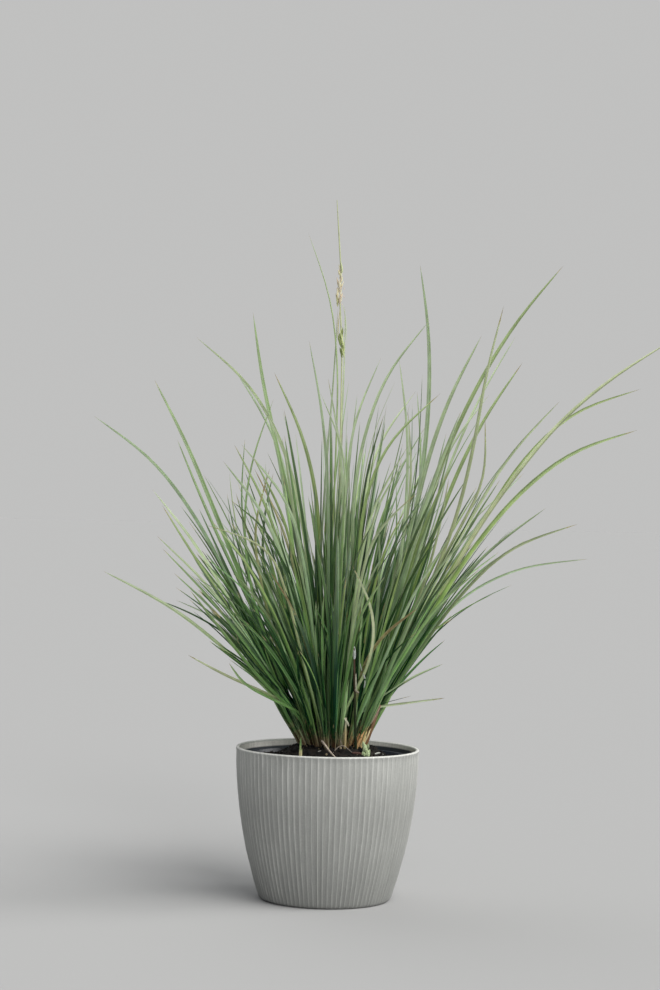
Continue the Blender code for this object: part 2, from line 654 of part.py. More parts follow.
def make_shoot(number, shoot):
    """One closed body: a six-sided sheath whose top parts into blades, one to a sector."""
    points = []
    ends = ((shoot["base"], SHEATH_FOOT_RADIUS, 0), (shoot["top"], SHEATH_RADIUS, 1))
    for centre, radius, flat in ends:
        for side in range(SECTORS):
            spoke = across_axis(shoot["axis"], math.tau * side / SECTORS) * radius
            spoke.z *= flat
            points.append(centre + spoke)
    faces = [tuple(reversed(range(SECTORS)))]
    for side in range(SECTORS):
        after = (side + 1) % SECTORS
        faces.append((side, after, SECTORS + after, SECTORS + side))
    hub = len(points)
    points.append(shoot["top"])
    blades = {blade["sector"]: blade for blade in shoot["blades"]}
    for sector in range(SECTORS):
        ring = (hub, SECTORS + sector, SECTORS + (sector + 1) % SECTORS)
        if sector not in blades:
            faces.append(ring)
            continue
        rings = blade_rings(blades[sector], ring, points)
        tip = len(points)
        points.append(Vector(blades[sector]["path"][-1]))
        for start, end in ((0, 1), (1, 2), (2, 0)):
            for below, above in zip(rings, rings[1:]):
                faces.append((below[start], below[end], above[end], above[start]))
            faces.append((rings[-1][start], rings[-1][end], tip))
    tones = [TONES[blade["tone"]] for blade in shoot["blades"]]
    colour = tuple(sum(channel) / len(tones) for channel in zip(*tones))
    name = f"grass_shoot_{number + 1:02d}"
    return add_object(name, points, faces, material(f"{name}_green", colour, 0.6))


def make_swept(name, rings, sides, finish):
    """Closed round stem through rings of (centre, radius); a radius of nothing is a tip."""
    points = []
    loops = []
    for number, (centre, radius) in enumerate(rings):
        below = rings[max(number - 1, 0)][0]
        above = rings[min(number + 1, len(rings) - 1)][0]
        axis = (above - below).normalized() if number else Vector((0.0, 0.0, 1.0))
        count = sides if radius > 0 else 1
        loops.append(range(len(points), len(points) + count))
        for side in range(count):
            points.append(centre + across_axis(axis, math.tau * side / sides) * radius)
    faces = [tuple(reversed(loops[0]))]
    for below, above in zip(loops, loops[1:]):
        for side in range(sides):
            after = (side + 1) % sides
            if len(above) == 1:
                faces.append((below[side], below[after], above[0]))
            else:
                faces.append((below[side], below[after], above[after], above[side]))
    if len(loops[-1]) > 1:
        faces.append(tuple(loops[-1]))
    thing = add_object(name, points, faces, finish)
    thing.data.shade_smooth()
    return thing


def stalk_rings():
    """Centres and radii of the flower stalk, foot first, swollen at every spikelet."""
    rows = [pixel[1] for pixel in STALK_PATH]
    columns = [pixel[0] for pixel in STALK_PATH]
    thin, thick = STALK_RADII

    def stem_radius(row):
        return thin + (thick - thin) * (row - rows[0]) / (rows[-1] - rows[0])

    sizes = [(rows[0], 0.0)] + [(row, stem_radius(row)) for row in STALK_ROWS]
    for top, bottom, count, radius in SPIKELETS:
        pitch = (bottom - top) / count
        for number in range(count):
            sizes.append((top + number * pitch, stem_radius(top)))
            sizes.append((top + (number + SPIKELET_PEAK) * pitch, radius))
        sizes.append((bottom, stem_radius(bottom)))
    sizes.sort(reverse=True)
    rings = [(foot_place(crown_slot(STALK_SLOT)), thick)]
    for row, radius in sizes:
        rings.append((at_pixel((float(np.interp(row, rows, columns)), row), STALK_DEPTH), radius))
    return rings


def short_stems():
    """Name, tone and rings of every dead stem and of the young shoot."""
    rows = [("young_shoot", *YOUNG_SHOOT)]
    for number, (slot, *rest) in enumerate(DEAD_STEMS):
        rows.append((f"dead_stem_{number + 1}", foot_place(crown_slot(slot)), *rest))
    stems = []
    for name, foot, tone, pixel, depth, radius in rows:
        top = at_pixel(pixel, depth)
        centres = (foot, foot.lerp(top, STEM_MIDDLE), top)
        rings = [(centre, radius * share) for centre, share in zip(centres, STEM_TAPER)]
        stems.append((name, tone, rings))
    return stems


def standing_posts(shoots, stalk, stems):
    """Points along every sheath, the flower stalk and the short stems that blades keep off."""
    posts = []
    for number, shoot in enumerate(shoots):
        for share in np.linspace(0.0, 1.0, POST_SAMPLES):
            posts.append((number, shoot["base"].lerp(shoot["top"], float(share)), SHEATH_ROOM))
    for rings in [stalk] + [rings for _, _, rings in stems]:
        for (start, radius), (end, _) in zip(rings, rings[1:]):
            room = radius + STEM_ROOM
            pieces = max(1, round((end - start).length / SAMPLE_STEP))
            for piece in range(pieces + 1):
                posts.append((None, start.lerp(end, piece / pieces), room))
    return posts


def main():
    clear_objects()
    make_cover_pot()
    make_nursery_pot()
    make_potting_mix()
    shoots = grow_shoots()
    stalk = stalk_rings()
    stems = short_stems()
    spread_apart(shoots, standing_posts(shoots, stalk, stems))
    for number, shoot in enumerate(shoots):
        make_shoot(number, shoot)
    make_swept("flower_stalk", stalk, STALK_SIDES, material("stalk_green", TONES["olive"], 0.6))
    for name, tone, rings in stems:
        make_swept(name, rings, STALK_SIDES, material(f"{name}_{tone}", TONES[tone], 0.8))


main()
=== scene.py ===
"""Looks of a potted ornamental grass clump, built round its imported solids, in metres.

Every piece stands for one solid of the frame. A grass shoot's piece follows the middle
lines of the solid's own blades, and has finer inner blades between them.
"""
import math
import random
from collections import Counter

import bmesh
import bpy
import numpy as np
from mathutils import Euler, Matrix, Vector, noise
from mathutils.bvhtree import BVHTree


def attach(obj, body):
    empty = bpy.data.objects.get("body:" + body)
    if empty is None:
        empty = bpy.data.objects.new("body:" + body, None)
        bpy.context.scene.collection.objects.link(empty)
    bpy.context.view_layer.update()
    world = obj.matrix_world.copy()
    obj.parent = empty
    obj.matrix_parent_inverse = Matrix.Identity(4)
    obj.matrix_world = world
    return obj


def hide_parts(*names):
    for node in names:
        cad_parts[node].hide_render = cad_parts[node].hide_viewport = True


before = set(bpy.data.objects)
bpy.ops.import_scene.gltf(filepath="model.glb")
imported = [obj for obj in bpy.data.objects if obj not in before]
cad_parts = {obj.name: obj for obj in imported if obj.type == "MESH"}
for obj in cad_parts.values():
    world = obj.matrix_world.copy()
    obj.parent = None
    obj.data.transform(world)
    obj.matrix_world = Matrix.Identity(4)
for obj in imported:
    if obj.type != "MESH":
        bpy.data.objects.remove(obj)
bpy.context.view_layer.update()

SEED = 23

# The photograph's camera: its frame and focal length in pixels, its place and its turn; it looks
# along +Y, slightly upward and rolled
VIEW_PIXELS = (660, 990)
VIEW_FOCAL = 2200.0
VIEW_PLACE = Vector((-0.0022, -1.68, 0.2921))
VIEW_TURN = Euler((math.pi / 2 + math.radians(0.52), math.radians(-1.3), 0.0))
SENSOR_WIDTH = 36.0

# Studio: the sky lights the object less than the background that shows behind it
FLOOR_RADIUS = 60.0
FLOOR_SIDES = 64
BACKGROUND_COLOUR = (0.53, 0.53, 0.525)
SKY_COLOUR = (0.20, 0.21, 0.22)
# Each lamp is a soft sun: its name, where it shines from, its width, strength and colour.
LAMPS = [
    ("key_lamp", (0.62, -0.60, 1.25), math.radians(40), 2.40, (1.0, 0.99, 0.955)),
    ("right_lamp", (1.00, 0.12, 0.48), math.radians(30), 1.10, (1.0, 0.99, 0.97)),
    ("back_lamp", (-0.50, 0.80, 1.30), math.radians(60), 0.80, (1.0, 1.0, 0.97)),
    ("front_lamp", (0.30, -1.00, 0.45), math.radians(14), 0.65, (1.0, 0.99, 0.97)),
]

# Cover pot, as its solid has it, with its ribs
POT_HEIGHT = 0.115
WALL_TOP_RADIUS = 0.0696
FOOT_RADIUS = 0.0500
RIM_RADIUS = 0.0700
POT_WALL = 0.0026
POT_FLOOR = 0.0030
LIP_RADIUS = 0.0015
FOOT_ROUNDING = 0.0030
RIBS = 94
RIB_COLUMNS = (0.0, 0.06, 0.12, 0.19, 0.30, 0.50, 0.70, 0.81, 0.88, 0.94)
RIB_HEIGHT = 0.00062
RIB_SHARE = 0.17
LIP_FADES = (0.7, 0.3)
WALL_ROWS = 44
ROUND_ROWS = 5
LIP_ROWS = 8
INSIDE_ROWS = 5
# Metres along the wall that one radian round the pot is, for the finish
WALL_RUN = 0.066
POT_GREY = (0.385, 0.390, 0.373)
# The lip is painted paler, a painted highlight where it catches the light
LIT_LIP_GREY = (0.66, 0.66, 0.63)
# The inside wall is painted pale, painted light where the clump shades it
LIT_INSIDE_GREY = (0.88, 0.86, 0.80)
# Painted shade low on the inside wall, a dark band between the pots: the heights that it fades out between,
# and how much higher it rises over a width at the right
INSIDE_SHADE_HEIGHTS = (0.1092, 0.1104)
INSIDE_SHADE_RISE = 0.0015
INSIDE_SHADE_WIDTH = 0.03
INSIDE_SHADE_GREY = (0.050, 0.060, 0.070)

# Nursery pot and potting mix, as their solids have them, but with a rounder mound
NURSERY_FOOT_RADIUS = 0.0460
NURSERY_RIM_RADIUS = 0.0655
NURSERY_RIM_HEIGHT = 0.1085
NURSERY_WALL = 0.0012
NURSERY_SIDES = 128
NURSERY_ROWS = 8
NURSERY_RIM_ROWS = 6
NURSERY_BLACK = (0.012, 0.019, 0.033)
NURSERY_DUST = (0.030, 0.031, 0.034)
GAP = 0.0003
MIX_EDGE_RADIUS = 0.0600
MIX_EDGE_HEIGHT = 0.1055
CROWN_X = 0.0060
ROOT_BALL_RADIUS = 0.0265
ROOT_BALL_TOP = 0.1160
MIX_SIDES = 160
MIX_ROWS = 34
MIX_LUMPS = ((0.0006, 160.0), (0.0007, 420.0))
MOUND_POWER = 2.1
CRUMBS = 1500
CRUMB_SIZES = (0.0005, 0.0019)
CRUMB_SIZE_POWER = 2.5
CRUMB_STRETCHES = ((0.7, 1.5), (0.6, 1.2), (0.5, 0.9))
CRUMB_CORNERS = (0.75, 1.2)
CRUMB_EDGE_GAP = 0.0015
LIGHT_CRUMB_SHARE = 0.025
LIGHT_CRUMB = (0.32, 0.26, 0.17)
CRUMB_DARK = 0.007
CRUMB_RISES = (0.024, 0.019, 0.016)
MIX_DARK = (0.006, 0.006, 0.006)
MIX_BARK = (0.026, 0.019, 0.015)

# Grass: how its solids are read, and how the blades, the inner blades, the short old scale
# leaves and the stem of a shoot are laid; the feet between the x values DRY_FEET are dry
WELD = 0.00002
CLEAR_OF_FOOT = 0.03
MATCH_PIXELS = 9.0
BLADE_STEPS = 30
PROFILE = (-1.0, -0.5, 0.0, 0.5, 1.0)
BLADE_THICKNESS = 0.00034
TIP_POWERS = (4.8, 0.64)
SHOWN_WIDTH = 1.20
SHOWN_LENGTH = 0.26
SHOWN_FACING = (0.75, 1.0)
SHOWN_TWIST = 0.3
HIDDEN_TWIST = 0.9
INNER_TWIST = 1.2
TURN_SHARE = 0.3
FOOT_GROWTH = 1.6
FOLDS = (math.radians(60), math.radians(42), math.radians(26))
FOLD_SHARES = (0.0, 0.16, 1.0)
INNER_BLADES = (9, 12)
INNER_WIDTHS = (0.0018, 0.0030)
# Inner blades are painted darker by this share, painted shade inside the clump
INNER_SHADE = 0.74
INNER_SHARES = (0.40, 0.97)
INNER_DRIFT = 0.015
INNER_PARTS = (0.15, 0.85)
INNER_STEPS = 10
INNER_KNOTS = 8
SCALE_LEAVES = (1, 2)
SCALE_LENGTHS = (0.010, 0.030)
SCALE_LEANS = (0.02, 0.16)
SCALE_WIDTHS = (0.0014, 0.0024)
DRY_FEET = (0.012, 0.034)
CORE_RADIUS = 0.0014
CORE_SIDES = 7
CORE_RISE = 0.004
# How thick the stem is at each share of its height
CORE_SHAPE = ((0.0, 1.0), (0.5, 0.9), (1.0, 0.55))
FOOT_SINK = 0.0012

TONES = {
    "silver": (0.350, 0.415, 0.315),
    "green": (0.135, 0.235, 0.092),
    "dark": (0.048, 0.115, 0.046),
    "olive": (0.238, 0.300, 0.112),
    "pale": (0.460, 0.470, 0.360),
    "straw": (0.480, 0.420, 0.240),
    "brown": (0.200, 0.150, 0.075),
}
OTHER_TONES = ("green", "silver", "dark", "olive", "pale", "straw")
OTHER_WEIGHTS = (44, 28, 16, 8, 3, 1)
INNER_TONES = ("dark", "green", "silver", "olive", "pale", "straw")
INNER_WEIGHTS = (36, 34, 18, 9, 2, 1)
TONE_SPREAD = 0.26
LIGHTEST = 1.25
WARMTH = 0.06
# What a blade's own lightness lies between, where the photograph shows it and elsewhere; the darker range
# elsewhere is partly painted shade on blades hidden in the clump
SHOWN_OWN = (0.45, 1.0)
HIDDEN_OWN = (0.0, 0.85)
OLIVE_OWN_TOP = 0.66

# Leaf: its colour low down, its bloom with painted sheen, its dry tip and the end of that; what its own
# lightness makes of the colour low down, where it is spread darker and greener as painted shade, and high
# up; and its foot, elsewhere and between DRY_FEET
LEAF_FRESH = (0.116, 0.220, 0.094)
LEAF_BLOOM_AND_SHEEN = (0.315, 0.388, 0.248)
LEAF_DRY = (0.42, 0.36, 0.19)
LEAF_END = (0.26, 0.18, 0.09)
# Low down the blades' own lightness spreads wider and darker green, painted shade inside the clump
LEAF_LOW = ((0.05, 0.20, 0.15), (2.10, 2.30, 1.75))
LEAF_HIGH = ((0.51, 0.61, 0.50), (1.36, 1.36, 1.28))
FOOT_PALE = ((0.74, 0.66, 0.38), (0.92, 0.56, 0.24))
FOOT_DEEP = ((0.110, 0.055, 0.030), (0.24, 0.10, 0.035))
VEINS = 22.0

# The dense body of the clump in the photograph, which the inner blades stay inside: rows of
# pixels from the top down, and the first and last column at each
BODY_ROWS = (330, 395, 440, 500, 540, 580, 620, 660, 700, 750)
BODY_LEFT = (300, 262, 242, 205, 178, 176, 196, 226, 254, 284)
BODY_RIGHT = (385, 440, 470, 505, 510, 490, 458, 430, 406, 382)
INNER_LEAST = 0.3

# Tips of the blades that show in the photograph, in its pixels, by the blade's tone
TIPS = {
    "silver": [
        (94, 416), (152, 489), (157, 536), (103, 571), (176, 600), (223, 461), (196, 337), (233, 367),
        (241, 444), (309, 340), (328, 378), (320, 392), (399, 358), (416, 391), (430, 320), (408, 446),
        (408, 455), (384, 553), (420, 264), (381, 358), (482, 335), (516, 336), (461, 411), (489, 395),
        (524, 473), (546, 508), (588, 559), (500, 495), (480, 523), (450, 537), (443, 664),
    ],
    "green": [
        (154, 379), (163, 548), (177, 439), (229, 663), (174, 573), (190, 590), (245, 438), (274, 398),
        (253, 312), (417, 391), (385, 576), (526, 540), (480, 569), (499, 552),
    ],
    "olive": [
        (162, 505), (234, 444), (274, 372), (252, 455), (441, 393), (564, 265), (523, 362), (641, 389),
        (638, 430), (449, 470), (308, 232),
    ],
    "pale": [
        (338, 308), (345, 305), (206, 525), (408, 411), (418, 492), (504, 305), (485, 418), (449, 478),
        (352, 565), (560, 401), (676, 338), (188, 655), (445, 698), (578, 524),
    ],
    "straw": [(270, 468)],
    "brown": [(254, 468), (270, 570), (418, 608)],
}
# Length of a blade's dry tip, by its tone, and how far it varies in outer and inner blades
DRY_TIPS = {
    "silver": 0.003, "green": 0.003, "dark": 0.004, "olive": 0.006,
    "pale": 0.008, "straw": 0.020, "brown": 0.050,
}
DRY_SPREAD = (0.6, 1.6)
INNER_DRY_SPREAD = (0.4, 1.5)

ROOT_STEPS = 14
ROOT_TAPER = 0.45
# Roots that lie over the front of the root ball: the colour and the radius of each, and its
# path as pixels of the photograph with their depths behind the pot's axis, in metres; where
# there is no depth, the root lies on the mix
ROOTS = [
    ((0.62, 0.52, 0.43), 0.0009, [
        (322, 741, -0.026), (325, 745, -0.034), (330, 752, -0.050), (335, 757, -0.066),
    ]),
    ((0.27, 0.23, 0.19), 0.0005, [
        (333, 753, None), (337, 748, -0.033), (342, 745, -0.032), (347, 748, -0.033), (352, 753, None),
    ]),
    ((0.24, 0.20, 0.16), 0.0004, [(340, 740, -0.026), (342, 745, -0.030)]),
]
# Bits that lie on the mix: the colour and the radius of each, and its path in pixels; and how
# thick a bit is along its length
BITS = [
    ((0.48, 0.49, 0.45), 0.0006, [(374, 755), (379, 753), (385, 752)]),
    ((0.42, 0.40, 0.36), 0.0004, [(318, 752), (321, 751)]),
    ((0.10, 0.055, 0.045), 0.0010, [(352, 754), (357, 754), (363, 755)]),
    ((0.38, 0.36, 0.31), 0.0004, [(277, 749), (280, 748)]),
]
BIT_SHAPE = (0.5, 0.9, 1.0, 1.0, 0.9, 0.8, 0.4)
# Dead stems: the tones of the top and the foot, and how thick each is beside its solid
DEAD_STEMS = {
    "dead_stem_1": ((0.130, 0.075, 0.048), (0.035, 0.055, 0.022), 0.65),
    "dead_stem_2": ((0.360, 0.235, 0.175), (0.300, 0.160, 0.075), 1.15),
    "dead_stem_3": ((0.720, 0.700, 0.500), (0.550, 0.440, 0.220), 0.75),
}
# Flakes of old sheath on a dead stem, some of them pale strips that stand for painted glints: their tone,
# their width, how far they stand behind the stem's middle line, in metres, and their path in pixels
FLAKES = {
    "dead_stem_1": [
        ((0.52, 0.56, 0.54), 0.0036, -0.0006, [(354, 659), (354, 652), (353, 645)]),
        ((0.62, 0.60, 0.46), 0.0014, -0.0014, [(356, 689), (356, 681), (356, 673)]),
        # These three pale strips are painted glints on a curled leaf
        ((0.50, 0.54, 0.50), 0.0011, 0.0024, [(362, 671), (361, 667), (360, 663)]),
        ((0.54, 0.58, 0.53), 0.0014, 0.0024, [(365, 679), (364, 676), (363, 673)]),
        ((0.54, 0.58, 0.53), 0.0012, 0.0024, [(364, 688), (365, 684), (365, 680)]),
        ((0.30, 0.27, 0.20), 0.0022, -0.0016, [(359, 693), (357, 692), (355, 689)]),
    ],
    "dead_stem_2": [
        # This pale streak is a painted highlight along the stub's front
        ((0.62, 0.46, 0.36), 0.0013, -0.0024, [(371, 724), (376, 715), (380, 707)]),
        ((0.86, 0.52, 0.24), 0.0030, -0.0090, [(356, 752), (358, 746), (362, 737), (366, 729)]),
        ((0.90, 0.70, 0.34), 0.0021, -0.0100, [(359, 752), (364, 740), (367, 731)]),
        ((0.88, 0.76, 0.44), 0.0018, -0.0080, [(361, 751), (368, 736), (371, 728)]),
        ((0.50, 0.26, 0.12), 0.0020, -0.0080, [(353, 752), (356, 742), (360, 733)]),
    ],
    "dead_stem_3": [
        ((0.70, 0.70, 0.52), 0.0019, -0.0006, [(349, 726), (347, 721), (344, 718)]),
    ],
}
# Strips of sheath on a dead stem: how many, the shares of its length that they reach, how
# unevenly they stand round it, how far their ends stand off and how light they are beside it
STRIPS = 5
STRIP_SHARES = (0.55, 0.98)
STRIP_TURN = 0.4
STRIP_FRAY = 0.0012
STRIP_LIGHTS = (0.7, 1.5)
# Steps along a dead stem, and the corners that each ring of a stem's solid has
STEM_STEPS = 14
STEM_SIDES = 5
# Any direction that no stem runs along, from which its sides are counted
TUBE_START = (0.31, 0.95, 0.1)
# Young shoot: its tone, its own lightness, and how far the two knots of its outer blade stand
# beside the lowest two of its inner one
YOUNG_TONE = (0.30, 0.34, 0.16)
YOUNG_OWN = 0.52
YOUNG_SHIFTS = ((0.0006, -0.0004, 0.0), (0.0012, -0.0004, -0.001))
# Flower stalk: the thickest and the thinnest that its bare stem is, how far apart the husks
# stand, how long and how thick they are, where the upper tuft starts, and the tones
STEM_LIMIT = 0.0012
STEM_LEAST = 0.00025
STALK_STEPS = 60
STALK_TONE = (0.50, 0.54, 0.31)
HUSK_SPACING = 0.0004
HUSK_DRIFT = (-0.0035, 0.0025)
HUSK_LENGTHS = (0.0040, 0.0068)
HUSK_WIDTHS = (0.0006, 0.0009)
ANTHER_SHARE = 0.25
ANTHER_LENGTH = 0.0018
ANTHER_RADIUS = 0.0003
ANTHER_TONE = (0.66, 0.54, 0.44)
UPPER_WIDE = 0.0025
UPPER_TUFT = 0.44
UPPER_SHIFT = Vector((-0.0010, 0.0, 0.0))
UPPER_HUSKS = ((0.72, 0.66, 0.42), (0.66, 0.56, 0.42), (0.62, 0.62, 0.34), (0.78, 0.73, 0.55))
LOWER_HUSKS = ((0.26, 0.31, 0.12), (0.42, 0.46, 0.20), (0.20, 0.25, 0.10))
# Husks and bracts of the stalk that stand out: the tone, the radius, how far in front of the
# stalk, in metres, and the path in pixels, foot first
STALK_DETAILS = [
    ((0.55, 0.62, 0.30), 0.0006, 0.0020, [(344, 347), (342, 339), (340, 330)]),
    ((0.50, 0.56, 0.27), 0.0005, 0.0020, [(344, 358), (343, 352), (341, 347)]),
    ((0.24, 0.30, 0.10), 0.0006, 0.0012, [(341, 347), (339, 341), (338, 334)]),
    ((0.50, 0.58, 0.34), 0.0004, 0.0005, [(346, 340), (346, 325), (345, 313), (343, 305)]),
    ((0.50, 0.46, 0.24), 0.0004, 0.0010, [(338, 340), (338, 328), (339, 318), (340, 308)]),
    ((0.55, 0.60, 0.34), 0.0007, 0.0010, [(342, 273), (342, 268), (341, 262)]),
]
DETAIL_SHAPE = (0.4, 0.8, 1.0, 1.0, 0.95, 0.85, 0.7, 0.5, 0.2)
# A pale papery bud beside the root ball: of each husk its foot's pixel, its lean to the right
# and its length and radius
BUD_FOOT = (365, 756)
BUD_HUSKS = [
    ((365, 752), 0.02, 0.0060, 0.0021),
    ((367, 757), 0.15, 0.0056, 0.0020),
    ((364, 757), -0.20, 0.0050, 0.0017),
    ((367, 749), 0.22, 0.0046, 0.0014),
    ((364, 748), -0.14, 0.0052, 0.0014),
    ((368, 754), 0.35, 0.0038, 0.0013),
]
BUD_TONE = (0.46, 0.56, 0.32)
BUD_LIGHTS = (0.6, 1.25)
# How thick a husk is at each share of its length
HUSK_PLACES = (0.0, 0.18, 0.45, 0.75, 1.0)
HUSK_SHAPE = (0.25, 0.85, 1.0, 0.55, 0.06)
BUD_SHAPE = (0.55, 0.95, 1.0, 0.70, 0.12)

chance = random.Random(SEED)


def within(span):
    """A chance value between two others."""
    return chance.uniform(*span)


def pixel_ray(pixel):
    across = pixel[0] - VIEW_PIXELS[0] / 2
    up = VIEW_PIXELS[1] / 2 - pixel[1]
    return (VIEW_TURN.to_matrix() @ Vector((across, up, -VIEW_FOCAL))).normalized()


def at_pixel(pixel, depth):
    """Point that the photograph shows at a pixel, at a depth behind the pot's axis."""
    ray = pixel_ray(pixel)
    return VIEW_PLACE + ray * ((depth - VIEW_PLACE.y) / ray.y)


def pixel_of(point):
    seen = VIEW_TURN.to_matrix().transposed() @ (Vector(point) - VIEW_PLACE)
    scale = VIEW_FOCAL / -seen.z
    return VIEW_PIXELS[0] / 2 + seen.x * scale, VIEW_PIXELS[1] / 2 - seen.y * scale


def add_object(name, data):
    made = bpy.data.objects.new(name, data)
    bpy.context.scene.collection.objects.link(made)
    return made


def add_camera():
    lens = bpy.data.cameras.new("photo_camera")
    lens.sensor_width = SENSOR_WIDTH
    lens.lens = SENSOR_WIDTH * VIEW_FOCAL / VIEW_PIXELS[1]
    camera = add_object("photo_camera", lens)
    camera.location = VIEW_PLACE
    camera.rotation_euler = VIEW_TURN
    bpy.context.scene.camera = camera


def fill(node, inputs):
    """Sets a node's inputs, each to a value, or by a link to a socket."""
    for key, value in inputs.items():
        if isinstance(value, bpy.types.NodeSocket):
            node.id_data.links.new(value, node.inputs[key])
        else:
            node.inputs[key].default_value = value


def add_node(tree, kind, inputs=None, **settings):
    made = tree.nodes.new("ShaderNode" + kind)
    for name, value in settings.items():
        setattr(made, name, value)
    fill(made, inputs or {})
    return made


def calc(tree, operation, *values):
    return add_node(tree, "Math", dict(enumerate(values)), operation=operation).outputs[0]


def times(tree, value, *others):
    for other in others:
        value = calc(tree, "MULTIPLY", value, other)
    return value


def ramp(tree, value, start, end, low=0.0, high=1.0):
    """Low below start, high above end and a smooth step between."""
    inputs = dict(enumerate((value, start, end, low, high)))
    return add_node(tree, "MapRange", inputs, interpolation_type="SMOOTHSTEP").outputs[0]


def rgba(colour):
    return (*colour, 1.0)


def mix(tree, share, *colours):
    """Mix of two colours, each a socket, or red, green and blue."""
    first, second = (rgba(colour) if isinstance(colour, tuple) else colour for colour in colours)
    return add_node(tree, "Mix", {0: share, 6: first, 7: second}, data_type="RGBA").outputs[2]


def product(tree, first, second):
    inputs = {0: first, 1: second}
    return add_node(tree, "VectorMath", inputs, operation="MULTIPLY").outputs[0]


def scaled(tree, colour, factor):
    inputs = {0: colour, "Scale": factor}
    return add_node(tree, "VectorMath", inputs, operation="SCALE").outputs[0]


def place_of(tree):
    """Place on the object, in metres."""
    return add_node(tree, "TexCoord").outputs["Object"]


def stretched(tree, place, scales):
    return add_node(tree, "Mapping", {"Vector": place, "Scale": scales}).outputs[0]


def grain(tree, place, scale, detail=3.0, roughness=0.55):
    inputs = {"Vector": place, "Scale": scale, "Detail": detail, "Roughness": roughness}
    return add_node(tree, "TexNoise", inputs).outputs[0]


def stored(tree, name, output="Fac"):
    return add_node(tree, "Attribute", attribute_name=name).outputs[output]


def bump(tree, height, distance, strength=1.0):
    inputs = {"Height": height, "Distance": distance, "Strength": strength}
    return add_node(tree, "Bump", inputs).outputs[0]


def new_finish(name):
    finish = bpy.data.materials.new(name)
    finish.use_nodes = True
    return finish, finish.node_tree, finish.node_tree.nodes["Principled BSDF"]


def make_pot_finish():
    """Grey moulded composite with fine speckle and faint upright streaks; its ribs, lip, foot and inside
    carry painted light and shade.
    """
    finish, tree, shader = new_finish("pot_grey")
    place = place_of(tree)
    x, y, height = add_node(tree, "SeparateXYZ", {0: place}).outputs
    turn = calc(tree, "ARCTAN2", x, times(tree, y, -1.0))
    wall = add_node(tree, "CombineXYZ", {0: times(tree, turn, WALL_RUN), 2: height}).outputs[0]
    speckle = ramp(tree, grain(tree, place, 1500.0, 2.0), 0.35, 0.68, 0.93, 1.06)
    streaks = grain(tree, stretched(tree, wall, (1150.0, 1.0, 40.0)), 1.0)
    bands = grain(tree, stretched(tree, wall, (210.0, 1.0, 16.0)), 1.0)
    factor = times(
        tree,
        speckle,
        ramp(tree, streaks, 0.32, 0.68, 0.92, 1.06),
        ramp(tree, bands, 0.32, 0.68, 0.96, 1.04),
        ramp(tree, grain(tree, place, 22.0, 2.0), 0.3, 0.7, 0.96, 1.04),
        # Rib crests painted paler and the wall between them darker: painted highlight and painted shade
        ramp(tree, stored(tree, "rib"), 0.05, 0.90, 0.89, 1.14),
        # Darker towards the foot, painted shade; lighter towards the lip
        ramp(tree, height, 0.0, 0.060, 0.82, 1.0),
        ramp(tree, height, 0.065, 0.110, 1.0, 1.18),
    )
    # Painted highlight along the top of the lip
    lip = ramp(tree, height, POT_HEIGHT - 0.0014, POT_HEIGHT - 0.0006)
    # Painted shade: a dark band low on the inside wall, higher at the right
    rise = ramp(tree, x, 0.0, INSIDE_SHADE_WIDTH, 0.0, INSIDE_SHADE_RISE)
    painted_shade = ramp(tree, calc(tree, "SUBTRACT", height, rise), *INSIDE_SHADE_HEIGHTS, 1.0, 0.0)
    outside = mix(tree, lip, POT_GREY, LIT_LIP_GREY)
    # Painted light on the inside wall, over a dark band of painted shade
    inside = mix(tree, painted_shade, LIT_INSIDE_GREY, INSIDE_SHADE_GREY)
    fill(shader, {
        "Base Color": scaled(tree, mix(tree, stored(tree, "inside"), outside, inside), factor),
        "Roughness": ramp(tree, speckle, 0.92, 1.08, 0.70, 0.52),
        "Specular IOR Level": 0.35,
        "Normal": bump(tree, grain(tree, place, 900.0, 4.0, 0.7), 0.0001),
    })
    return finish


def make_black_finish():
    """Thin black nursery plastic with a bluish shine and a film of dust."""
    finish, tree, shader = new_finish("nursery_black")
    place = place_of(tree)
    dust = ramp(tree, grain(tree, place, 260.0, 4.0), 0.52, 0.75)
    fill(shader, {
        "Base Color": mix(tree, dust, NURSERY_BLACK, NURSERY_DUST),
        "Roughness": ramp(tree, dust, 0.0, 1.0, 0.34, 0.75),
        "Specular IOR Level": 0.35,
        "Normal": bump(tree, grain(tree, place, 500.0), 0.00008),
    })
    return finish


def make_mix_finish():
    """Moist dark potting mix with a little bark, its crumbs each of their own tone."""
    finish, tree, shader = new_finish("potting_mix")
    place = place_of(tree)
    blotch = ramp(tree, grain(tree, place, 300.0, 5.0, 0.65), 0.40, 0.66)
    ground = mix(tree, blotch, MIX_DARK, MIX_BARK)
    base = mix(tree, stored(tree, "own_tone"), ground, stored(tree, "tone", "Color"))
    fill(shader, {
        "Base Color": scaled(tree, base, ramp(tree, grain(tree, place, 1300.0), 0.3, 0.7, 0.65, 1.3)),
        "Roughness": 0.92,
        "Specular IOR Level": 0.25,
        "Normal": bump(tree, grain(tree, place, 1500.0, 4.0, 0.7), 0.0003),
    })
    return finish


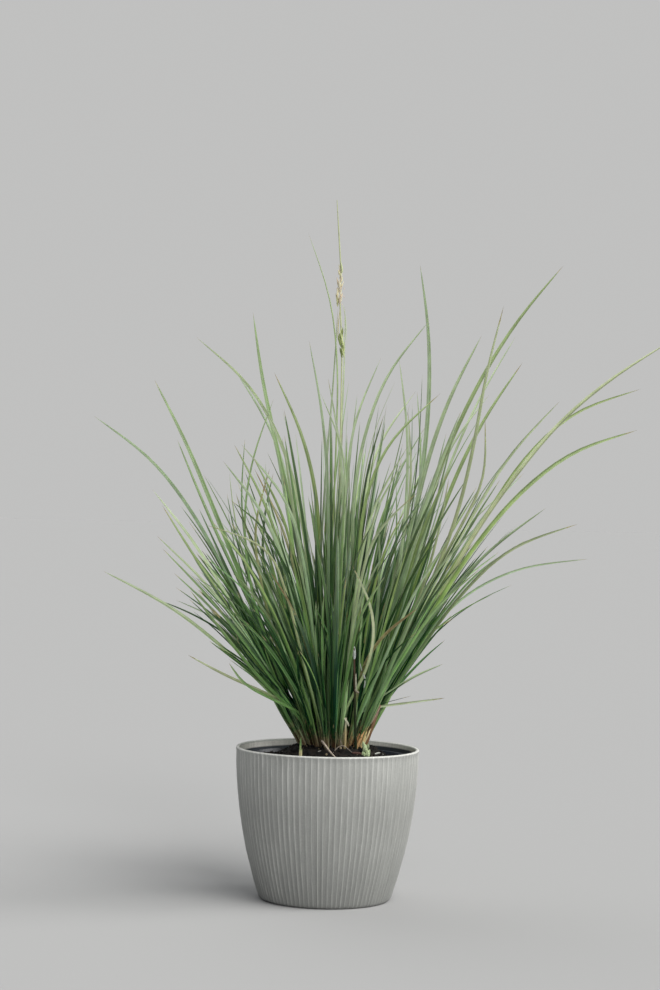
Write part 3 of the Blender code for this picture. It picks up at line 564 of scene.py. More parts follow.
def make_leaf_finish():
    """Grass leaf: fine veins, a pale midrib, a deep or bright lower part partly of painted shade, painted
    light and sheen higher up, one half of its fold painted darker, a foot and a dry tip.
    """
    finish, tree, shader = new_finish("grass_leaf")
    place = place_of(tree)
    across, from_foot, own = (stored(tree, name) for name in ("across", "from_foot", "own"))
    side = calc(tree, "ABSOLUTE", across)
    veins = calc(tree, "SINE", times(tree, across, VEINS))
    patches = grain(tree, place, 55.0)
    factor = times(
        tree,
        ramp(tree, patches, 0.3, 0.7, 0.82, 1.16),
        ramp(tree, veins, -1.0, 1.0, 0.94, 1.05),
        ramp(tree, side, 0.04, 0.22, 1.25, 1.0),
        ramp(tree, side, 0.78, 0.98, 1.0, 1.15),
        # One half of the fold painted darker and the other lighter: painted shade and painted light
        ramp(tree, across, -0.6, 0.5, 0.70, 1.15),
        # Lighter higher up the blade, painted light
        ramp(tree, from_foot, 0.12, 0.34, 1.0, 1.22),
    )
    fresh = ramp(tree, from_foot, 0.04, 0.19, 0.70, 0.0)
    # Higher up, a paler colour that is partly the blades' waxy bloom and partly painted sheen
    high_up = ramp(tree, from_foot, 0.09, 0.28, 0.0, 0.55)
    bloom_and_sheen = times(tree, high_up, ramp(tree, own, 0.0, 1.0, 0.6, 1.2))
    leaf = mix(tree, fresh, stored(tree, "tone", "Color"), LEAF_FRESH)
    leaf = scaled(tree, mix(tree, bloom_and_sheen, leaf, LEAF_BLOOM_AND_SHEEN), factor)
    # Low down, dark blades turn deep green as painted shade
    low = mix(tree, ramp(tree, own, 0.32, 0.85), *LEAF_LOW)
    high = mix(tree, own, *LEAF_HIGH)
    leaf = product(tree, leaf, mix(tree, ramp(tree, from_foot, 0.03, 0.26), low, high))
    wobble = ramp(tree, grain(tree, place, 240.0), 0.3, 0.7, 0.6, 1.5)
    along = times(tree, calc(tree, "DIVIDE", stored(tree, "to_tip"), stored(tree, "dry")), wobble)
    leaf = mix(tree, ramp(tree, along, 0.7, 1.6, 1.0, 0.0), leaf, LEAF_DRY)
    leaf = mix(tree, ramp(tree, along, 0.25, 0.9, 1.0, 0.0), leaf, LEAF_END)
    deep, pale = (mix(tree, stored(tree, "warm"), *pair) for pair in (FOOT_DEEP, FOOT_PALE))
    foot = mix(tree, ramp(tree, own, 0.25, 0.50), deep, pale)
    at_foot = ramp(tree, times(tree, from_foot, wobble), 0.003, 0.020, 0.95, 0.0)
    fill(shader, {
        "Base Color": mix(tree, at_foot, leaf, foot),
        "Roughness": ramp(tree, patches, 0.3, 0.7, 0.34, 0.50),
        "Specular IOR Level": ramp(tree, from_foot, 0.05, 0.25, 0.15, 0.45),
        "Normal": bump(tree, veins, 0.00003, 0.6),
        "Subsurface Weight": 0.30,
        "Subsurface Radius": (0.0010, 0.0012, 0.0006),
        "Subsurface Scale": 1.0,
    })
    return finish


def make_dry_finish(name, roughness, darkest):
    """Dead or flowering stem: its stored tone, fibres along it and darker specks."""
    finish, tree, shader = new_finish(name)
    place = place_of(tree)
    fibres = grain(tree, stretched(tree, place, (1.0, 1.0, 0.06)), 1900.0)
    specks = ramp(tree, grain(tree, place, 420.0), 0.55, 0.72, 1.0, darkest)
    factor = times(tree, ramp(tree, fibres, 0.3, 0.7, darkest + 0.1, 1.2), specks)
    fill(shader, {
        "Base Color": scaled(tree, stored(tree, "tone", "Color"), factor),
        "Roughness": roughness,
        "Specular IOR Level": 0.3,
        "Normal": bump(tree, fibres, 0.0001),
    })
    return finish


class Form:
    """Points, faces and stored values of a piece, gathered before they become one mesh."""

    def __init__(self):
        self.points = []
        self.faces = []
        self.values = {}
        self.count = 0

    def add(self, points, faces, **values):
        """Adds a body; each stored value is one for every point, or one for each."""
        points = np.asarray(points, float)
        self.faces.extend(tuple(corner + self.count for corner in face) for face in faces)
        for name, value in values.items():
            value = np.asarray(value, float)
            width = 3 if name == "tone" else 1
            if value.size == width:
                value = np.tile(value.reshape(1, width), (len(points), 1))
            self.values.setdefault(name, []).append(value.reshape(len(points), width))
        self.points.append(points)
        self.count += len(points)

    def mesh(self, name, crease):
        mesh = bpy.data.meshes.new(name)
        mesh.from_pydata(np.concatenate(self.points).tolist(), [], self.faces)
        for key, blocks in self.values.items():
            block = np.concatenate(blocks)
            kind, field = ("FLOAT_COLOR", "color") if key == "tone" else ("FLOAT", "value")
            if key == "tone":
                block = np.pad(block, ((0, 0), (0, 1)), constant_values=1.0)
            layer = mesh.attributes.new(key, kind, "POINT")
            layer.data.foreach_set(field, block.astype(np.float32).ravel())
        mesh.shade_smooth()
        mesh.set_sharp_from_angle(angle=crease)
        return mesh


def add_piece(form, node, finish, crease):
    """Makes the piece that stands for a node; it is shaded smooth but for creases of more degrees."""
    name = f"{node}_fine"
    mesh = form.mesh(name, math.radians(crease))
    mesh.materials.append(finish)
    piece = add_object(name, mesh)
    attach(piece, "root")
    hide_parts(node)


def wall_faces(rings, sides, first=0):
    """Quads between rings of points that follow one another from a first number."""
    faces = []
    for ring in range(first, first + (rings - 1) * sides, sides):
        for side in range(sides):
            after = (side + 1) % sides
            faces.append((ring + side, ring + after, ring + sides + after, ring + sides + side))
    return faces


def tube_faces(rings, sides):
    """Faces of a round stem with closed ends."""
    top = (rings - 1) * sides
    return [tuple(reversed(range(sides))), *wall_faces(rings, sides), tuple(range(top, top + sides))]


def round_row(radii, angles, height):
    """Points round the Z axis at one height."""
    return np.stack([radii * np.cos(angles), radii * np.sin(angles), np.full(len(angles), height)], axis=1)


def turned_form(rows, bottom, top):
    """Closed body from rows of points round the Z axis, between the heights of its end points."""
    sides = len(rows[0])
    points = np.concatenate([[(0.0, 0.0, bottom)], *rows, [(0.0, 0.0, top)]])
    faces = [(0, 1 + (side + 1) % sides, 1 + side) for side in range(sides)]
    faces += wall_faces(len(rows), sides, 1)
    last = len(points) - 1 - sides
    faces += [(last + side, last + (side + 1) % sides, len(points) - 1) for side in range(sides)]
    return points, faces


def pot_radius(height):
    share = 1 - height / POT_HEIGHT
    return WALL_TOP_RADIUS - (WALL_TOP_RADIUS - FOOT_RADIUS) * share ** 2


def rib_strength(rib, height):
    """How far a rib stands out at a height; here and there it is worn almost flat."""
    own = noise.noise((rib * 7.3, 0.5, 3.5))
    slow = noise.noise((rib * 3.7, height * 30.0, 0.5))
    quick = noise.noise((rib * 5.3, height * 130.0, 7.5))
    return min(1.2, max(0.1, 0.75 + 0.5 * own + 0.4 * slow + 0.4 * quick))


def pot_profile():
    """Rows of the cover pot from its foot over its lip to its floor.

    Each row is its radius, its height and how much of the ribs it has.
    """
    rows = []
    for row in range(ROUND_ROWS):
        angle = math.pi / 2 * row / (ROUND_ROWS - 1)
        height = FOOT_ROUNDING * (1 - math.cos(angle))
        radius = pot_radius(height) - FOOT_ROUNDING * (1 - math.sin(angle))
        rows.append((radius, height, math.sin(angle) ** 2))
    wall_top = POT_HEIGHT - 2 * LIP_RADIUS
    for row in range(1, WALL_ROWS + 1):
        height = FOOT_ROUNDING + (wall_top - FOOT_ROUNDING) * row / WALL_ROWS
        rows.append((pot_radius(height), height, 1.0))
    for row in range(LIP_ROWS + 1):
        angle = math.pi * (row / LIP_ROWS)
        radius = RIM_RADIUS - LIP_RADIUS + LIP_RADIUS * math.cos(angle)
        fade = LIP_FADES[row] if row < len(LIP_FADES) else 0.0
        rows.append((radius, POT_HEIGHT - LIP_RADIUS + LIP_RADIUS * math.sin(angle), fade))
    for row in range(1, INSIDE_ROWS + 1):
        height = wall_top - (wall_top - POT_FLOOR) * row / INSIDE_ROWS
        rows.append((pot_radius(height) - POT_WALL, height, 0.0))
    return rows


def make_cover_pot(finish):
    columns = np.tile(RIB_COLUMNS, RIBS)
    angles = (np.repeat(np.arange(RIBS), len(RIB_COLUMNS)) + columns) * math.tau / RIBS
    ridge = np.exp(-(np.minimum(columns, 1 - columns) / RIB_SHARE) ** 2)
    rows = []
    ribs = [[0.0]]
    for radius, height, share in pot_profile():
        uneven = np.repeat([rib_strength(rib, height) for rib in range(RIBS)], len(RIB_COLUMNS))
        reach = radius - share * RIB_HEIGHT * (1 - ridge * uneven)
        rows.append(round_row(reach, angles, height))
        ribs.append(share * ridge * uneven)
    points, faces = turned_form(rows, 0.0, POT_FLOOR)
    outer = 1 + len(angles) * (ROUND_ROWS + WALL_ROWS + LIP_ROWS)
    inside = np.repeat([0.0, 1.0], [outer, len(points) - outer])
    form = Form()
    form.add(points, faces, rib=np.concatenate([*ribs, [0.0]]), inside=inside)
    add_piece(form, "cover_pot", finish, 60)


def nursery_radius(height):
    foot = POT_FLOOR + GAP
    slope = (NURSERY_RIM_RADIUS - NURSERY_FOOT_RADIUS) / (NURSERY_RIM_HEIGHT - foot)
    return NURSERY_FOOT_RADIUS + slope * (height - foot)


def make_nursery_pot(finish):
    foot = POT_FLOOR + GAP
    rounding = NURSERY_WALL / 2
    rim = NURSERY_RIM_HEIGHT - rounding
    profile = [(nursery_radius(height), height) for height in np.linspace(foot, rim, NURSERY_ROWS + 1)]
    for row in range(1, NURSERY_RIM_ROWS):
        angle = math.pi * row / NURSERY_RIM_ROWS
        radius = NURSERY_RIM_RADIUS - rounding + rounding * math.cos(angle)
        profile.append((radius, rim + rounding * math.sin(angle)))
    for height in np.linspace(rim, foot + NURSERY_WALL, NURSERY_ROWS + 1):
        profile.append((nursery_radius(height) - NURSERY_WALL, height))
    angles = np.arange(NURSERY_SIDES) * math.tau / NURSERY_SIDES
    rows = [round_row(radius, angles, height) for radius, height in profile]
    form = Form()
    form.add(*turned_form(rows, foot, foot + NURSERY_WALL))
    add_piece(form, "nursery_pot", finish, 50)


def mix_height(x, y):
    """Height of the mound of potting mix, flat round the crown, with its lumps."""
    to_edge = max(0.0, MIX_EDGE_RADIUS - math.hypot(x, y))
    to_top = max(0.0, math.hypot(x - CROWN_X, y) - ROOT_BALL_RADIUS)
    share = to_edge / (to_edge + to_top) if to_edge > 0 else 0.0
    share = (share * share * (3 - 2 * share)) ** MOUND_POWER
    height = MIX_EDGE_HEIGHT + (ROOT_BALL_TOP - MIX_EDGE_HEIGHT) * share
    for depth, scale in MIX_LUMPS:
        height += depth * noise.noise((x * scale, y * scale, 0.3))
    return height


def crumb(size):
    """A lump with unevenly placed corners, as points and faces."""
    form = bmesh.new()
    bmesh.ops.create_icosphere(form, subdivisions=1, radius=size)
    stretch = Vector([within(span) for span in CRUMB_STRETCHES])
    turn = Euler([chance.uniform(0, math.tau) for _ in range(3)])
    points = []
    for vertex in form.verts:
        place = vertex.co * within(CRUMB_CORNERS) * stretch
        place.rotate(turn)
        points.append(place)
    faces = [tuple(vertex.index for vertex in face.verts) for face in form.faces]
    form.free()
    return np.array(points), faces


def on_surface(pixel, surface, radius):
    """Point on the mix that the photograph shows at a pixel, raised for a stick of a radius."""
    place = surface.ray_cast(VIEW_PLACE, pixel_ray(pixel))[0]
    if place is None:
        place = surface.find_nearest(at_pixel(pixel, 0.0))[0]
    return place + Vector((0.0, 0.0, radius * 0.7))


def lay_roots_and_bits(form, surface):
    """Adds the pale roots, the bits on the mix and the bud at the front of the root ball."""
    for tone, radius, path in ROOTS:
        knots = [
            on_surface((x, y), surface, radius) if depth is None else at_pixel((x, y), depth)
            for x, y, depth in path
        ]
        line, _ = soft_curve(knots, ROOT_STEPS)
        radii = radius * (1 - ROOT_TAPER * np.linspace(0.0, 1.0, len(line)))
        lay_tube(form, line, radii, 7, tone, own_tone=1.0)
    for tone, radius, path in BITS:
        knots = [on_surface(pixel, surface, radius) for pixel in path]
        line, _ = soft_curve(knots, len(BIT_SHAPE) - 1)
        lay_tube(form, line, radius * np.array(BIT_SHAPE), 6, tone, own_tone=1.0)
    depth = on_surface(BUD_FOOT, surface, 0.0).y
    for (x, y), lean, length, radius in BUD_HUSKS:
        heading = Vector((lean, -0.15, 1.0)).normalized()
        light = within(BUD_LIGHTS)
        tone = [channel * light for channel in BUD_TONE]
        lay_husk(form, at_pixel((x, y), depth), heading, length, radius, tone, BUD_SHAPE, own_tone=1.0)


def make_potting_mix(finish):
    foot = POT_FLOOR + NURSERY_WALL + 2 * GAP
    foot_radius = NURSERY_FOOT_RADIUS - NURSERY_WALL - 3 * GAP
    angles = np.arange(MIX_SIDES) * math.tau / MIX_SIDES
    rows = [round_row(foot_radius, angles, foot)]
    for row in range(MIX_ROWS):
        ring = round_row(MIX_EDGE_RADIUS * (1 - row / MIX_ROWS), angles, 0.0)
        ring[:, 2] = [mix_height(x, y) for x, y, _ in ring]
        rows.append(ring)
    points, faces = turned_form(rows, foot, mix_height(0.0, 0.0))
    form = Form()
    form.add(points, faces, tone=MIX_DARK, own_tone=0.0)
    lay_roots_and_bits(form, BVHTree.FromPolygons(points.tolist(), faces))
    for _ in range(CRUMBS):
        radius = (MIX_EDGE_RADIUS - CRUMB_EDGE_GAP) * math.sqrt(chance.random())
        angle = chance.uniform(0, math.tau)
        x, y = radius * math.cos(angle), radius * math.sin(angle)
        least, most = CRUMB_SIZES
        size = least + (most - least) * chance.random() ** CRUMB_SIZE_POWER
        points, faces = crumb(size)
        if chance.random() < LIGHT_CRUMB_SHARE:
            tone = LIGHT_CRUMB
        else:
            light = chance.random() ** 2
            tone = [CRUMB_DARK + rise * light for rise in CRUMB_RISES]
        points = points + (x, y, mix_height(x, y) + size * 0.3)
        form.add(points, faces, tone=tone, own_tone=1.0)
    add_piece(form, "potting_mix", finish, 35)


def welded(node):
    """The node's solid with the doubled points of its faces joined."""
    form = bmesh.new()
    form.from_mesh(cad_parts[node].data)
    bmesh.ops.remove_doubles(form, verts=form.verts, dist=WELD)
    form.verts.ensure_lookup_table()
    return form


def middle(vertices):
    return sum((vertex.co for vertex in vertices), Vector()) / len(vertices)


def read_shoot(node):
    """The shoot's foot, the middle of its sheath's top and its blades, read from its solid.

    A blade of the solid is a chain of rings of three corners that ends in one tip point.
    """
    form = welded(node)
    low = min(vertex.co.z for vertex in form.verts)
    foot = middle([vertex for vertex in form.verts if vertex.co.z < low + WELD * 5])
    clear = low + CLEAR_OF_FOOT
    tips = [vertex for vertex in form.verts if len(vertex.link_edges) == 3 and vertex.co.z > clear]
    blades = []
    roots = Counter()
    for tip in sorted(tips, key=lambda vertex: tuple(vertex.co)):
        seen = {tip}
        rings = [[tip]]
        while True:
            linked = {edge.other_vert(vertex) for vertex in rings[-1] for edge in vertex.link_edges}
            reached = linked - seen
            if len(reached) != 3:
                break
            seen |= reached
            rings.append(sorted(reached, key=lambda vertex: tuple(vertex.co)))
        roots.update(rings[-1])
        centres = [middle(ring) for ring in reversed(rings)]
        corners = [vertex.co for vertex in rings[-3]]
        sides = [(corners[k] - corners[k - 1]).length for k in range(3)]
        widest = sides.index(max(sides))
        ridge = corners[(widest + 1) % 3] - (corners[widest] + corners[widest - 1]) / 2
        width = max((a.co - b.co).length for ring in rings[1:-2] for a in ring for b in ring)
        blades.append({"knots": centres, "ridge": ridge.normalized(), "width": width})
    hub = max(roots, key=lambda vertex: (roots[vertex], vertex.co.z)).co.copy()
    form.free()
    return {"node": node, "foot": foot, "hub": hub, "blades": blades}


def match_tones(shoots):
    """Gives each blade its tone: as the photograph shows it, or by chance where it is hidden."""
    blades = [blade for shoot in shoots for blade in shoot["blades"]]
    pairs = []
    for number, blade in enumerate(blades):
        end = pixel_of(blade["knots"][-1])
        pairs += [(math.dist(end, tip), number, tone, tip) for tone in TIPS for tip in TIPS[tone]]
    taken = set()
    for distance, number, tone, tip in sorted(pairs):
        if distance < MATCH_PIXELS and "tone" not in blades[number] and tip not in taken:
            blades[number]["tone"] = tone
            blades[number]["shown"] = True
            taken.add(tip)
    for blade in blades:
        if "tone" not in blade:
            blade["tone"] = chance.choices(OTHER_TONES, OTHER_WEIGHTS)[0]
            blade["shown"] = False


def places_on(line, run, marks):
    """Points at marks on a line, whose own points are at the marks of its run."""
    return np.stack([np.interp(marks, run, line[:, axis]) for axis in range(3)], axis=1)


def soft_curve(knots, count):
    """Evenly spaced points on a smooth curve that cuts the corners of the line of knots."""
    line = np.array([tuple(knot) for knot in knots])
    for _ in range(4):
        cut = np.empty((2 * (len(line) - 1), 3))
        cut[0::2] = line[:-1] * 0.75 + line[1:] * 0.25
        cut[1::2] = line[:-1] * 0.25 + line[1:] * 0.75
        cut[0] = line[0]
        cut[-1] = line[-1]
        line = cut
    run = np.concatenate([[0.0], np.cumsum(np.linalg.norm(np.diff(line, axis=0), axis=1))])
    return places_on(line, run, np.linspace(0.0, run[-1], count + 1)), run[-1]


def unit(vectors):
    return vectors / np.maximum(np.linalg.norm(vectors, axis=-1, keepdims=True), 1e-12)


def carried(side, along):
    """A direction across a line, carried along it without a turn round it."""
    sides = np.empty_like(along)
    for step, heading in enumerate(along):
        side = side - heading * np.dot(side, heading)
        side = side / max(np.linalg.norm(side), 1e-9)
        sides[step] = side
    return sides


def blade_directions(line, ridge, facing, twist):
    """Directions across a blade and out of its ridge, at each of its points.

    The share facing turns its flat side to the photograph's camera, above its foot.
    """
    along = unit(np.gradient(line, axis=0))
    shares = np.linspace(0.0, 1.0, len(line))
    across = carried(np.cross(ridge, along[0]), along)
    seen_across = unit(np.cross(along, (0.0, 1.0, 0.0)))
    middle_step = len(line) // 2
    if np.dot(seen_across[middle_step], across[middle_step]) < 0:
        seen_across = -seen_across
    ridges = np.cross(along, across)
    turn = np.arctan2((seen_across * ridges).sum(axis=1), (seen_across * across).sum(axis=1))
    ease = np.clip(shares / TURN_SHARE, 0.0, 1.0)
    ease = ease * ease * (3 - 2 * ease)
    turn = (np.unwrap(turn) * ease * facing + twist * shares)[:, None]
    return (
        across * np.cos(turn) + ridges * np.sin(turn),
        ridges * np.cos(turn) - across * np.sin(turn),
    )


def ribbon_faces(steps, sides):
    """Faces of a blade, from the ring at its foot to its one tip point."""
    last = (steps - 1) * sides
    return [
        tuple(range(sides)),
        *(face[::-1] for face in wall_faces(steps, sides)),
        *((last + (k + 1) % sides, last + k, steps * sides) for k in range(sides)),
    ]


def lay_blade(
    form, knots, ridge, width, tone, dry, twist,
    facing=0.0, foot_width=0.75, steps=BLADE_STEPS, own_top=1.0,
):
    """Adds a folded leaf blade along its knots, foot first, as one closed body.

    A blade that faces the photograph's camera is one of the paler ones, and even a short one
    has all the colours of a long one.
    """
    warm = 1.0 if DRY_FEET[0] < knots[0][0] < DRY_FEET[1] and knots[0][1] < 0 else 0.0
    line, length = soft_curve(knots, steps)
    across, ridges = blade_directions(line, ridge, facing, twist)
    shares = np.linspace(0.0, 1.0, steps + 1)
    widths = width * np.minimum(1.0, foot_width + shares * FOOT_GROWTH)
    widths = widths * (1 - shares ** TIP_POWERS[0]) ** TIP_POWERS[1]
    folds = np.interp(shares, FOLD_SHARES, FOLDS)
    thick = BLADE_THICKNESS * (0.35 + 0.65 * widths / width)
    rings = []
    outside = [(u, 0.0) for u in PROFILE]
    inside = [(u, 1.0) for u in PROFILE[-2:0:-1]]
    for u, depth in outside + inside:
        out = widths / 2 * np.cos(folds) * u
        rise = widths / 2 * np.sin(folds) * (0.5 - abs(u) ** 1.15) - depth * thick * (1 - 0.5 * abs(u))
        rings.append(line + across * out[:, None] + ridges * rise[:, None])
    sides = len(rings)
    points = np.concatenate([np.stack(rings, axis=1)[:-1].reshape(-1, 3), line[-1:]])
    marks = np.append(np.repeat(shares[:-1], sides), 1.0)
    lowest, highest = SHOWN_OWN if facing else HIDDEN_OWN
    form.add(
        points,
        ribbon_faces(steps, sides),
        tone=tone,
        across=np.append(np.tile([u for u, _ in outside + inside], steps), 0.0),
        from_foot=marks * (max(length, SHOWN_LENGTH) if facing else length),
        to_tip=(1 - marks) * length,
        dry=dry,
        own=min(own_top, lowest + (highest - lowest) * chance.random()),
        warm=warm,
    )


def shade_of(tone):
    """A tone with some chance in its lightness and a little in its warmth."""
    light = min(LIGHTEST, math.exp(chance.gauss(0.0, TONE_SPREAD)))
    warm = chance.uniform(-WARMTH, WARMTH)
    red, green, blue = TONES[tone]
    return (red * light * (1 + warm), green * light, blue * light * (1 - warm))


def spoke(axis, angle):
    """Direction square to an axis, turned round it by an angle."""
    side = axis.orthogonal().normalized()
    return side * math.cos(angle) + axis.cross(side) * math.sin(angle)


def lay_core(form, foot, top, tone):
    """Adds the stem of a shoot, a tapered round peg in the middle of its leaf sheaths."""
    axis = (top - foot).normalized()
    points = []
    marks = []
    for share, radius in CORE_SHAPE:
        for k in range(CORE_SIDES):
            outward = spoke(axis, math.tau * k / CORE_SIDES)
            points.append(foot.lerp(top, share) + outward * radius * CORE_RADIUS)
            marks.append(share * (top - foot).length)
    faces = tube_faces(len(CORE_SHAPE), CORE_SIDES)
    form.add(points, faces, tone=tone, across=0.5, from_foot=marks, to_tip=1.0, dry=0.001, own=0.3, warm=0.0)


def in_body(point):
    x, y = pixel_of(point)
    return np.interp(y, BODY_ROWS, BODY_LEFT) < x < np.interp(y, BODY_ROWS, BODY_RIGHT) and y > BODY_ROWS[0]


def inner_knots(first, second):
    """Knots of an inner blade, between two blades of the same shoot and shorter than they are."""
    share = within(INNER_SHARES)
    part = within(INNER_PARTS)
    lines = [soft_curve(blade["knots"], INNER_STEPS)[0] for blade in (first, second)]
    line = lines[0] * (1 - part) + lines[1] * part
    inside = next((step for step, point in enumerate(line) if not in_body(point)), INNER_STEPS)
    share = min(share, max(INNER_LEAST, inside / INNER_STEPS))
    line = places_on(line, range(INNER_STEPS + 1), np.linspace(0.0, INNER_STEPS * share, INNER_KNOTS))
    drift = np.array([chance.gauss(0, 1), chance.gauss(0, 1), 0.0]) * INNER_DRIFT
    return line + drift * (np.linspace(0.0, 1.0, INNER_KNOTS) ** 2)[:, None] * share


def make_shoot(shoot, finish):
    foot, hub, blades = shoot["foot"], shoot["hub"], shoot["blades"]
    axis = (hub - foot).normalized()
    sunk = foot - axis * FOOT_SINK
    form = Form()
    lay_core(form, sunk, hub + axis * CORE_RISE, shade_of("olive"))
    for blade in blades:
        outward = blade["knots"][0] - hub
        start = [sunk + outward * 0.7, foot.lerp(hub, 0.55) + outward * 0.85]
        facing = within(SHOWN_FACING) if blade["shown"] else 0.0
        most = SHOWN_TWIST if blade["shown"] else HIDDEN_TWIST
        twist = chance.uniform(-most, most)
        dry = DRY_TIPS[blade["tone"]] * within(DRY_SPREAD)
        width = blade["width"] * SHOWN_WIDTH
        own_top = OLIVE_OWN_TOP if blade["tone"] == "olive" else 1.0
        tone = shade_of(blade["tone"])
        knots = start + blade["knots"]
        lay_blade(form, knots, blade["ridge"], width, tone, dry, twist, facing, own_top=own_top)
    for _ in range(chance.randint(*INNER_BLADES)):
        first, second = chance.sample(blades, 2)
        line = inner_knots(first, second)
        start = np.array(sunk) + (line[0] - np.array(hub)) * 0.5
        name = chance.choices(INNER_TONES, INNER_WEIGHTS)[0]
        dry = DRY_TIPS[name] * within(INNER_DRY_SPREAD)
        width = within(INNER_WIDTHS)
        tone = [channel * INNER_SHADE for channel in shade_of(name)]
        twist = chance.uniform(-INNER_TWIST, INNER_TWIST)
        lay_blade(form, [start, *line], first["ridge"], width, tone, dry, twist, foot_width=0.5)
    for _ in range(chance.randint(*SCALE_LEAVES)):
        lay_scale_leaf(form, sunk, axis)
    add_piece(form, shoot["node"], finish, 42)


def lay_scale_leaf(form, foot, axis):
    """Adds a short old leaf that clasps the foot of a shoot; between DRY_FEET it is a dry one."""
    outward = spoke(axis, chance.uniform(0, math.tau))
    length = within(SCALE_LENGTHS)
    out = length * within(SCALE_LEANS)
    start = foot + outward * CORE_RADIUS
    steps = ((0.0, 0.0), (0.35, 0.0005), (0.7, out * 0.35), (1.0, out))
    knots = [start + axis * length * share + outward * reach for share, reach in steps]
    dry = DRY_FEET[0] < foot.x < DRY_FEET[1]
    tone = shade_of(chance.choice(("straw", "pale", "brown") if dry else ("olive", "silver")))
    width = within(SCALE_WIDTHS)
    lay_blade(form, knots, outward, width, tone, 0.004, 0.3, foot_width=1.0, steps=10)


def rings_by_height(node):
    """Middles and radii of a stem's rings, foot first; a leftover point is its tip."""
    form = welded(node)
    vertices = sorted(form.verts, key=lambda vertex: vertex.co.z)
    rings = []
    for start in range(0, len(vertices), STEM_SIDES):
        ring = vertices[start:start + STEM_SIDES]
        centre = middle(ring)
        rings.append((centre, max((vertex.co - centre).length for vertex in ring)))
    form.free()
    return rings


def lay_tube(form, centres, radii, sides, tone, **values):
    """Adds a round stem with closed ends."""
    line = np.array([tuple(centre) for centre in centres])
    along = unit(np.gradient(line, axis=0))
    across = carried(np.cross(along[0], TUBE_START), along)[:, None]
    up = np.cross(along, across[:, 0])[:, None]
    angles = (np.arange(sides) * math.tau / sides)[:, None]
    spokes = across * np.cos(angles) + up * np.sin(angles)
    points = line[:, None] + spokes * np.array(radii)[:, None, None]
    form.add(points.reshape(-1, 3), tube_faces(len(line), sides), tone=tone, **values)


def lay_husk(form, place, heading, length, radius, tone, shape=HUSK_SHAPE, **values):
    """Adds an oval husk, such as half of a spikelet."""
    centres = [place + heading * length * share for share in HUSK_PLACES]
    lay_tube(form, centres, [radius * share for share in shape], 6, tone, **values)


def make_flower_stalk(finish):
    """Thin culm with tufts of pointed husks and small pale anthers that hang from them."""
    rings = rings_by_height("flower_stalk")
    stem = [ring for ring in rings if ring[1] < STEM_LIMIT]
    line, _ = soft_curve([centre for centre, _ in stem], STALK_STEPS)
    radii = [max(radius, STEM_LEAST) for _, radius in stem]
    radii = np.interp(np.linspace(0, 1, len(line)), np.linspace(0, 1, len(stem)), radii)
    form = Form()
    lay_tube(form, line, radii, 8, STALK_TONE)
    depth = np.mean([centre.y for centre, _ in stem])
    for tone, radius, forward, path in STALK_DETAILS:
        knots = [at_pixel(pixel, depth - forward) for pixel in path]
        strand, _ = soft_curve(knots, len(DETAIL_SHAPE) - 1)
        lay_tube(form, strand, radius * np.array(DETAIL_SHAPE), 6, tone)
    for centre, radius in (ring for ring in rings if ring[1] >= STEM_LIMIT):
        upper = centre.z > UPPER_TUFT
        for _ in range(round(radius / HUSK_SPACING)):
            angle = chance.uniform(0, math.tau)
            outward = Vector((math.cos(angle), math.sin(angle), 0.0))
            place = centre + outward * radius * chance.uniform(0.1, 0.5)
            place.z += within(HUSK_DRIFT)
            if radius > UPPER_WIDE:
                place += UPPER_SHIFT
            heading = (outward * chance.uniform(0.05, 0.45) + Vector((0.0, 0.0, 1.0))).normalized()
            tone = chance.choice(UPPER_HUSKS if upper else LOWER_HUSKS)
            length = min(HUSK_LENGTHS[0] + radius, HUSK_LENGTHS[1]) * chance.uniform(0.75, 1.15)
            lay_husk(form, place, heading, length, within(HUSK_WIDTHS), tone)
            if upper and chance.random() < ANTHER_SHARE:
                hang = Vector((outward.x * 0.5, outward.y * 0.5, -1.0)).normalized()
                place = centre + outward * radius * 0.8
                lay_husk(form, place, hang, ANTHER_LENGTH, ANTHER_RADIUS, ANTHER_TONE)
    add_piece(form, "flower_stalk", finish, 50)


def make_dead_stem(node, finish):
    """Broken dead stem with split sheath strips round it, a frayed top and pale flakes, some of them painted
    glints.
    """
    top_tone, foot_tone, thickness = DEAD_STEMS[node]
    rings = rings_by_height(node)
    centres = [centre for centre, _ in rings]
    radius = rings[0][1] * thickness
    line, _ = soft_curve(centres, STEM_STEPS)
    rise = np.clip(np.linspace(-0.6, 1.2, len(line)), 0.0, 1.0)[:, None]
    tones = np.array(foot_tone) * (1 - rise) + np.array(top_tone) * rise
    form = Form()
    lay_tube(form, line, np.linspace(radius, radius * 0.6, len(line)), 8, np.repeat(tones, 8, axis=0))
    axis = (centres[-1] - centres[0]).normalized()
    for number in range(STRIPS):
        outward = spoke(axis, math.tau * number / STRIPS + chance.uniform(-STRIP_TURN, STRIP_TURN))
        last = max(3, round(STEM_STEPS * within(STRIP_SHARES)))
        points = [Vector(place) + outward * radius * 0.85 for place in line[:last]]
        points[-1] = points[-1] + outward * chance.uniform(0.0, STRIP_FRAY)
        lay_strip(form, points, outward, radius, tones[last // 2] * within(STRIP_LIGHTS))
    for tone, width, shift, path in FLAKES.get(node, ()):
        heights = [at_pixel(pixel, centres[-1].y).z for pixel in path]
        depths = np.interp(heights, line[:, 2], line[:, 1]) + shift
        outward = Vector((chance.uniform(-0.5, 0.5), -1.0, 0.0)).normalized()
        knots = [at_pixel(pixel, float(depth)) for pixel, depth in zip(path, depths)]
        lay_strip(form, knots, outward, width, tone)
    add_piece(form, node, finish, 45)


def lay_strip(form, knots, outward, width, tone):
    """Adds a narrow dry strip with a ragged point."""
    strip = Form()
    lay_blade(strip, knots, outward, width, tone, 0.001, 0.3, foot_width=0.9, steps=12)
    form.add(strip.points[0], strip.faces, tone=tone)


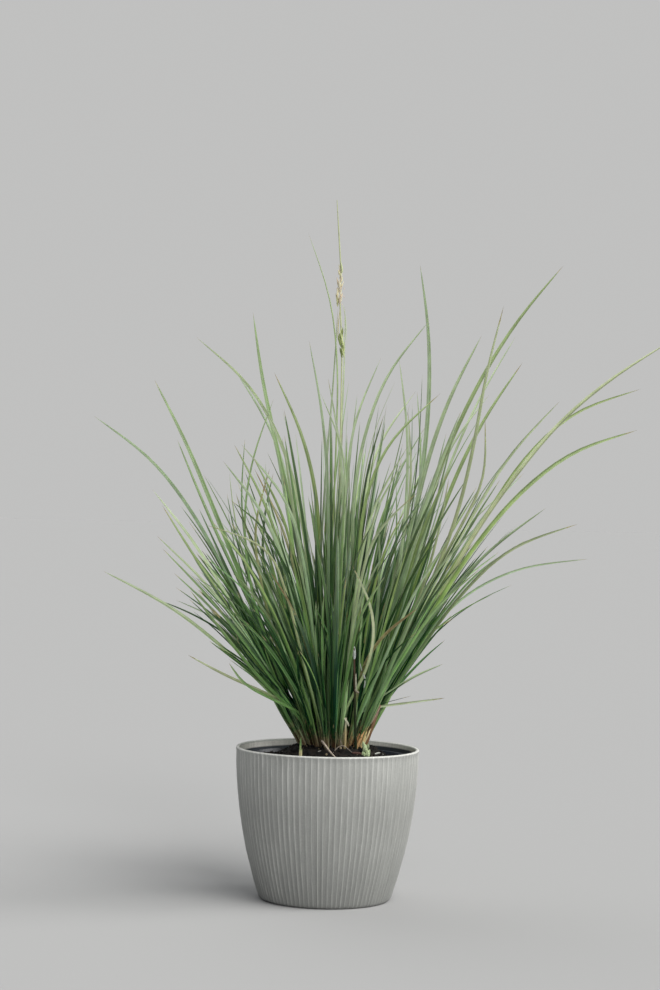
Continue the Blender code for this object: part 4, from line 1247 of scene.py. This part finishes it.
def make_young_shoot(finish):
    """Short young shoot of two small blades, the outer one round the foot of the inner one."""
    rings = rings_by_height("young_shoot")
    knots = [centre for centre, _ in rings]
    sunk = knots[0] - Vector((0.0, 0.0, 0.003))
    outer = [sunk, *(knot + Vector(shift) for knot, shift in zip(knots, YOUNG_SHIFTS))]
    form = Form()
    for path, ridge, share, steps in (
        ([sunk, *knots], (0.0, -1.0, 0.0), 2.0, 16),
        (outer, (0.3, -1.0, 0.0), 1.7, 12),
    ):
        width = rings[0][1] * share
        lay_blade(form, path, ridge, width, YOUNG_TONE, 0.0006, 0.2, foot_width=0.9, steps=steps)
    form.values["own"] = [np.full_like(block, YOUNG_OWN) for block in form.values["own"]]
    add_piece(form, "young_shoot", finish, 42)


def floor_colour():
    """Colour at which the lit floor looks just like the background behind it."""
    light = np.array(SKY_COLOUR)
    for _, place, _, strength, colour in LAMPS:
        light = light + np.array(colour) * strength * place[2] / Vector(place).length / math.pi
    return tuple(float(channel) for channel in np.array(BACKGROUND_COLOUR) / light)


def add_floor():
    mesh = bpy.data.meshes.new("floor")
    angles = np.arange(FLOOR_SIDES) * math.tau / FLOOR_SIDES
    mesh.from_pydata(round_row(FLOOR_RADIUS, angles, 0.0).tolist(), [], [tuple(range(FLOOR_SIDES))])
    finish, _, shader = new_finish("floor_pale")
    fill(shader, {"Base Color": rgba(floor_colour()), "Roughness": 1.0, "Specular IOR Level": 0.0})
    mesh.materials.append(finish)
    floor = add_object("floor", mesh)


def add_lamps():
    for name, place, width, strength, colour in LAMPS:
        light = bpy.data.lights.new(name, "SUN")
        light.angle = width
        light.energy = strength
        light.color = colour
        lamp = add_object(name, light)
        lamp.location = place
        lamp.rotation_euler = (-Vector(place)).to_track_quat("-Z", "Y").to_euler()


def add_world():
    """A pale background that lights the object less than it shows."""
    world = bpy.data.worlds.new("studio")
    world.use_nodes = True
    tree = world.node_tree
    seen = add_node(tree, "LightPath").outputs["Is Camera Ray"]
    fill(tree.nodes["Background"], {"Color": mix(tree, seen, SKY_COLOUR, BACKGROUND_COLOUR)})
    bpy.context.scene.world = world


def main():
    bpy.context.scene.view_settings.view_transform = "Standard"
    add_camera()
    add_world()
    add_lamps()
    add_floor()
    make_cover_pot(make_pot_finish())
    make_nursery_pot(make_black_finish())
    make_potting_mix(make_mix_finish())
    leaf = make_leaf_finish()
    names = sorted(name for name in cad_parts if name.startswith("grass_shoot"))
    shoots = [read_shoot(name) for name in names]
    match_tones(shoots)
    for shoot in shoots:
        make_shoot(shoot, leaf)
    make_young_shoot(leaf)
    make_flower_stalk(make_dry_finish("flower_stalk", 0.6, 0.8))
    dry = make_dry_finish("dry_stem", 0.8, 0.6)
    for node in DEAD_STEMS:
        make_dead_stem(node, dry)


main()
